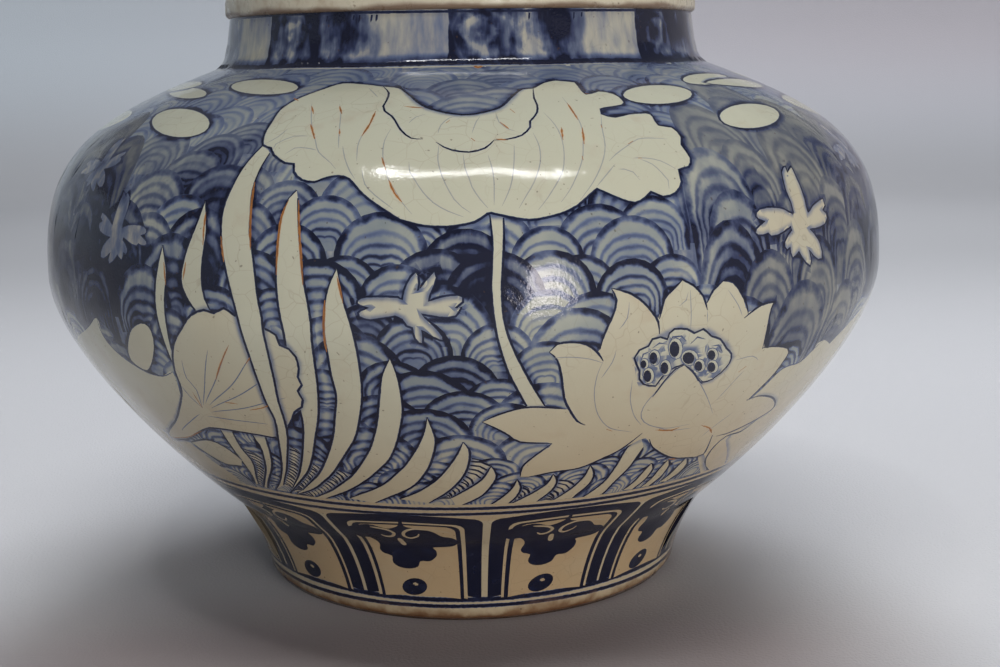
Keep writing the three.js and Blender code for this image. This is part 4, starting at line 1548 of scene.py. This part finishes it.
# Slip joints
# The sections are stuck together with slip. It fills each joint as a thin washer behind the
# glaze and stands inside as a ridge, pressed down by the potter's fingers.
SLIP_HALF, SLIP_SPREAD, SLIP_PROUD, SLIP_BEHIND, SEAT_GAP = 0.55, 6.0, 2.2, 1.6, 0.3
FLOOR_SLIP_TOE, FLOOR_SLIP_BEND, FLOOR_SLIP_CREST = (85.3, 20.0), (97.0, 22.0), (99.9, 29.0)
SLIP_PALE, SLIP_SHADE = (0.35, 0.32, 0.25), (0.25, 0.19, 0.125)


def slip_material():
    """Fired slip, matt and unevenly toasted."""
    material, place, shader = new_material("joint_slip", 0.45)
    grain = place.noise(190, 4, 0.6)
    colour = place.colour(SLIP_PALE).mixed(grain.ramp(0.42, 0.7) * 0.7, SLIP_SHADE)
    joined(shader, Base_Color=colour)
    bumped(shader, (grain, 0.0004), (place.noise(700, 2), 0.00008))
    return material


def radius_at(spots, height):
    """The radius at a height, along spots of (radius, height) that go upward."""
    spots = np.array(spots)
    return float(np.interp(height, spots[:, 1], spots[:, 0]))


def slip_ring(name, node, joint, above, below):
    """Slip in one joint. above and below are the insides of the sections that meet there."""
    wall = sorted(above + below, key=lambda spot: spot[1])

    def inner(height):
        return radius_at(wall, height) - SEAT_GAP

    def ripple(radius, height, angle):
        proud = np.clip(inner(height) - radius, 0, SLIP_PROUD)
        press = 0.35 * np.sin(17 * angle + joint) + 0.25 * np.sin(31 * angle + 1)
        return radius + proud * np.clip(press, 0, 1) * 0.8, height

    outer = min(radius_at(outline / MM, joint + side) for side in (1, -1)) - SLIP_BEHIND
    line = [(outer, joint - SLIP_HALF), (outer, joint + SLIP_HALF)]
    line.append((inner(joint + SLIP_HALF + 0.05), joint + SLIP_HALF))
    line += [(inner(h), h) for h in np.linspace(joint + 2, joint + SLIP_SPREAD, 3)]
    heights = np.linspace(joint + SLIP_SPREAD, joint - SLIP_SPREAD, 9)
    for height in heights[1:-1]:
        swell = math.sin(math.pi * (height - heights[0]) / (heights[-1] - heights[0]))
        line.append((inner(height) - SLIP_PROUD * swell, float(height)))
    line += [(inner(h), h) for h in np.linspace(joint - SLIP_SPREAD, joint - 2, 3)]
    line.append((inner(joint - SLIP_HALF - 0.05), joint - SLIP_HALF))
    turned_piece(name, node, line, [fired_slip], ripple=ripple)


fired_slip = slip_material()
slip_ring("waist_joint_slip", "waist_slip", waist_height, LOWER_INSIDE, FOOT_INSIDE[:4])
slip_ring("belly_joint_slip", "belly_slip", belly_height, UPPER_INSIDE, LOWER_INSIDE)
slip_ring("neck_joint_slip", "neck_slip", neck_height, NECK_INSIDE, UPPER_INSIDE)
foot_wall = FOOT_INSIDE[4::-1]
slip_line = [(radius_at(foot_wall, height) - SEAT_GAP, height)
             for height in (DISC_HIGH, FLOOR_SLIP_CREST[1])]
crest, bend, toe = [np.array(spot) for spot in (FLOOR_SLIP_CREST, FLOOR_SLIP_BEND, FLOOR_SLIP_TOE)]
for t in np.linspace(0, 1, 10)[1:]:
    spot = (1 - t) ** 2 * crest + 2 * (1 - t) * t * bend + t * t * toe
    slip_line.append((float(spot[0]), float(spot[1])))
turned_piece("floor_joint_slip", "floor_slip", slip_line, [fired_slip])

# Studio
# A pale cloth lies under the jar and rises in a ring far round it. Broad soft lights stand above
# and behind, and a tube light and a window are placed where the picture shows them in the glaze.
STAGE_RADIUS, STAGE_SWEEP, STAGE_TOP, STAGE_SIDES = 2.4, 0.4, 0.9, 96
# The near colour is the jar's shadow, painted on the cloth before its foot.
CLOTH_FLOOR, CLOTH_PAINTED_SHADOW = (0.52, 0.52, 0.535), (0.265, 0.220, 0.218)
# The colour behind is painted shade on the cloth behind the jar.
CLOTH_SHADE_BEHIND = (0.345, 0.345, 0.355)
CLOTH_WALL_LEFT, CLOTH_WALL_RIGHT = (0.475, 0.520, 0.560), (0.530, 0.500, 0.525)
ROOM_COLOUR, ROOM_STRENGTH = (0.82, 0.86, 0.95, 1), 0.17
# Each light: its name, place, aim, width, height, watts, colour, whether it is mirrored in the
# glaze, and its spread in degrees.
LIGHTS = (
    ("back", (0.45, 1.6, 1.9), (0, 0, 0.1), 1.5, 1.1, 48, (0.93, 0.96, 1.0), False, 180),
    ("glare", (0.02, 2.0, 2.08), (0, 0, 0.2), 0.7, 0.4, 5, (0.95, 0.97, 1.0), True, 180),
    ("front_fill", (1.0, -1.8, 0.3), (0, 0, 0.15), 1.2, 0.4, 2.9, (1.0, 0.93, 0.86), False, 60),
    ("top_fill", (0.1, -0.5, 2.1), (0.0, -0.1, 0.2), 0.9, 0.5, 5, (0.97, 0.99, 1.0), False, 180),
    ("tube", (0.14, -0.78, 2.2), (0.14, -0.78, 0), 1.4, 0.10, 15, (1, 1, 1), True, 180),
    ("lamp", (-0.58, -0.64, 2.2), (-0.5, -0.6, 0), 0.16, 0.16, 3.2, (1, 1, 1), True, 180),
    ("window", (0.53, -1.5, 0.15), (0.033, -0.2, 0.16), 0.22, 0.46, 0.47, (1.0, 0.93, 0.96),
     True, 60),
)


def cloth_material():
    """A pale cloth with painted shade behind the jar, a painted shadow before its foot, and a tint
    where it rises.
    """
    material, place, shader = new_material("stage_cloth", 0.85)
    # Painted shade: the cloth grows darker behind the jar.
    behind = place.part(1).ramp(0.3, 1.2)
    rising = place.part(2).ramp(0.0, 0.3)
    cloth = place.colour(CLOTH_FLOOR).mixed(behind, CLOTH_SHADE_BEHIND).mixed(rising, CLOTH_WALL_LEFT)
    cloth = cloth.mixed(rising * place.part(0).ramp(-1.2, 1.0), CLOTH_WALL_RIGHT)
    # Painted shadow: the cloth is darkened and warmed before the jar's foot, where the jar's shadow
    # falls.
    near = place.part(1).ramp(-0.04, -0.14) * (1 - abs(place.part(0) + 0.02).ramp(0.12, 0.26))
    near = near * place.part(1).ramp(-0.36, -0.17)
    joined(shader, Base_Color=cloth.mixed(near * 0.85, CLOTH_PAINTED_SHADOW))
    bumped(shader, (place.noise(700, 3), 0.0004))
    return material


def stage_floor():
    """The cloth as a round floor whose edge sweeps up into a low wall."""
    bend = STAGE_RADIUS - STAGE_SWEEP
    line = [(0.5, 0.0), (1.2, 0.0)]
    for t in np.linspace(0, math.pi / 2, 9):
        line.append((bend + STAGE_SWEEP * math.sin(t), STAGE_SWEEP - STAGE_SWEEP * math.cos(t)))
    line.append((STAGE_RADIUS, STAGE_TOP))
    points = [(0.0, 0.0, 0.0)]
    for radius, height in line:
        for angle in np.arange(STAGE_SIDES) * math.tau / STAGE_SIDES:
            points.append((radius * math.cos(angle), radius * math.sin(angle), height))
    faces = [(0, 1 + i, 1 + (i + 1) % STAGE_SIDES) for i in range(STAGE_SIDES)]
    for start in range(1, len(points) - STAGE_SIDES, STAGE_SIDES):
        for i in range(STAGE_SIDES):
            j = (i + 1) % STAGE_SIDES
            faces.append((start + i, start + STAGE_SIDES + i, start + STAGE_SIDES + j, start + j))
    mesh = bpy.data.meshes.new("stage_floor")
    mesh.from_pydata(points, [], faces)
    mesh.shade_smooth()
    mesh.materials.append(cloth_material())
    floor = bpy.data.objects.new("stage_floor", mesh)
    bpy.context.scene.collection.objects.link(floor)


def area_light(name, place, aim, wide, high, power, colour, mirrored, spread):
    """A soft rectangular light at a place, turned to face another. The camera doesn't see it."""
    data = bpy.data.lights.new(name, "AREA")
    data.shape = "RECTANGLE"
    data.size, data.size_y = wide, high
    data.energy = power
    data.color = colour
    data.spread = math.radians(spread)
    light = bpy.data.objects.new(name, data)
    bpy.context.scene.collection.objects.link(light)
    light.visible_glossy = mirrored
    light.visible_camera = False
    facing = Vector(aim) - Vector(place)
    light.matrix_world = (
        Matrix.Translation(place) @ facing.to_track_quat("-Z", "Y").to_matrix().to_4x4())


stage_floor()
for light in LIGHTS:
    area_light(*light)
world = bpy.data.worlds.new("room")
world.use_nodes = True
room = world.node_tree.nodes["Background"].inputs
room["Color"].default_value = ROOM_COLOUR
room["Strength"].default_value = ROOM_STRENGTH
bpy.context.scene.world = world
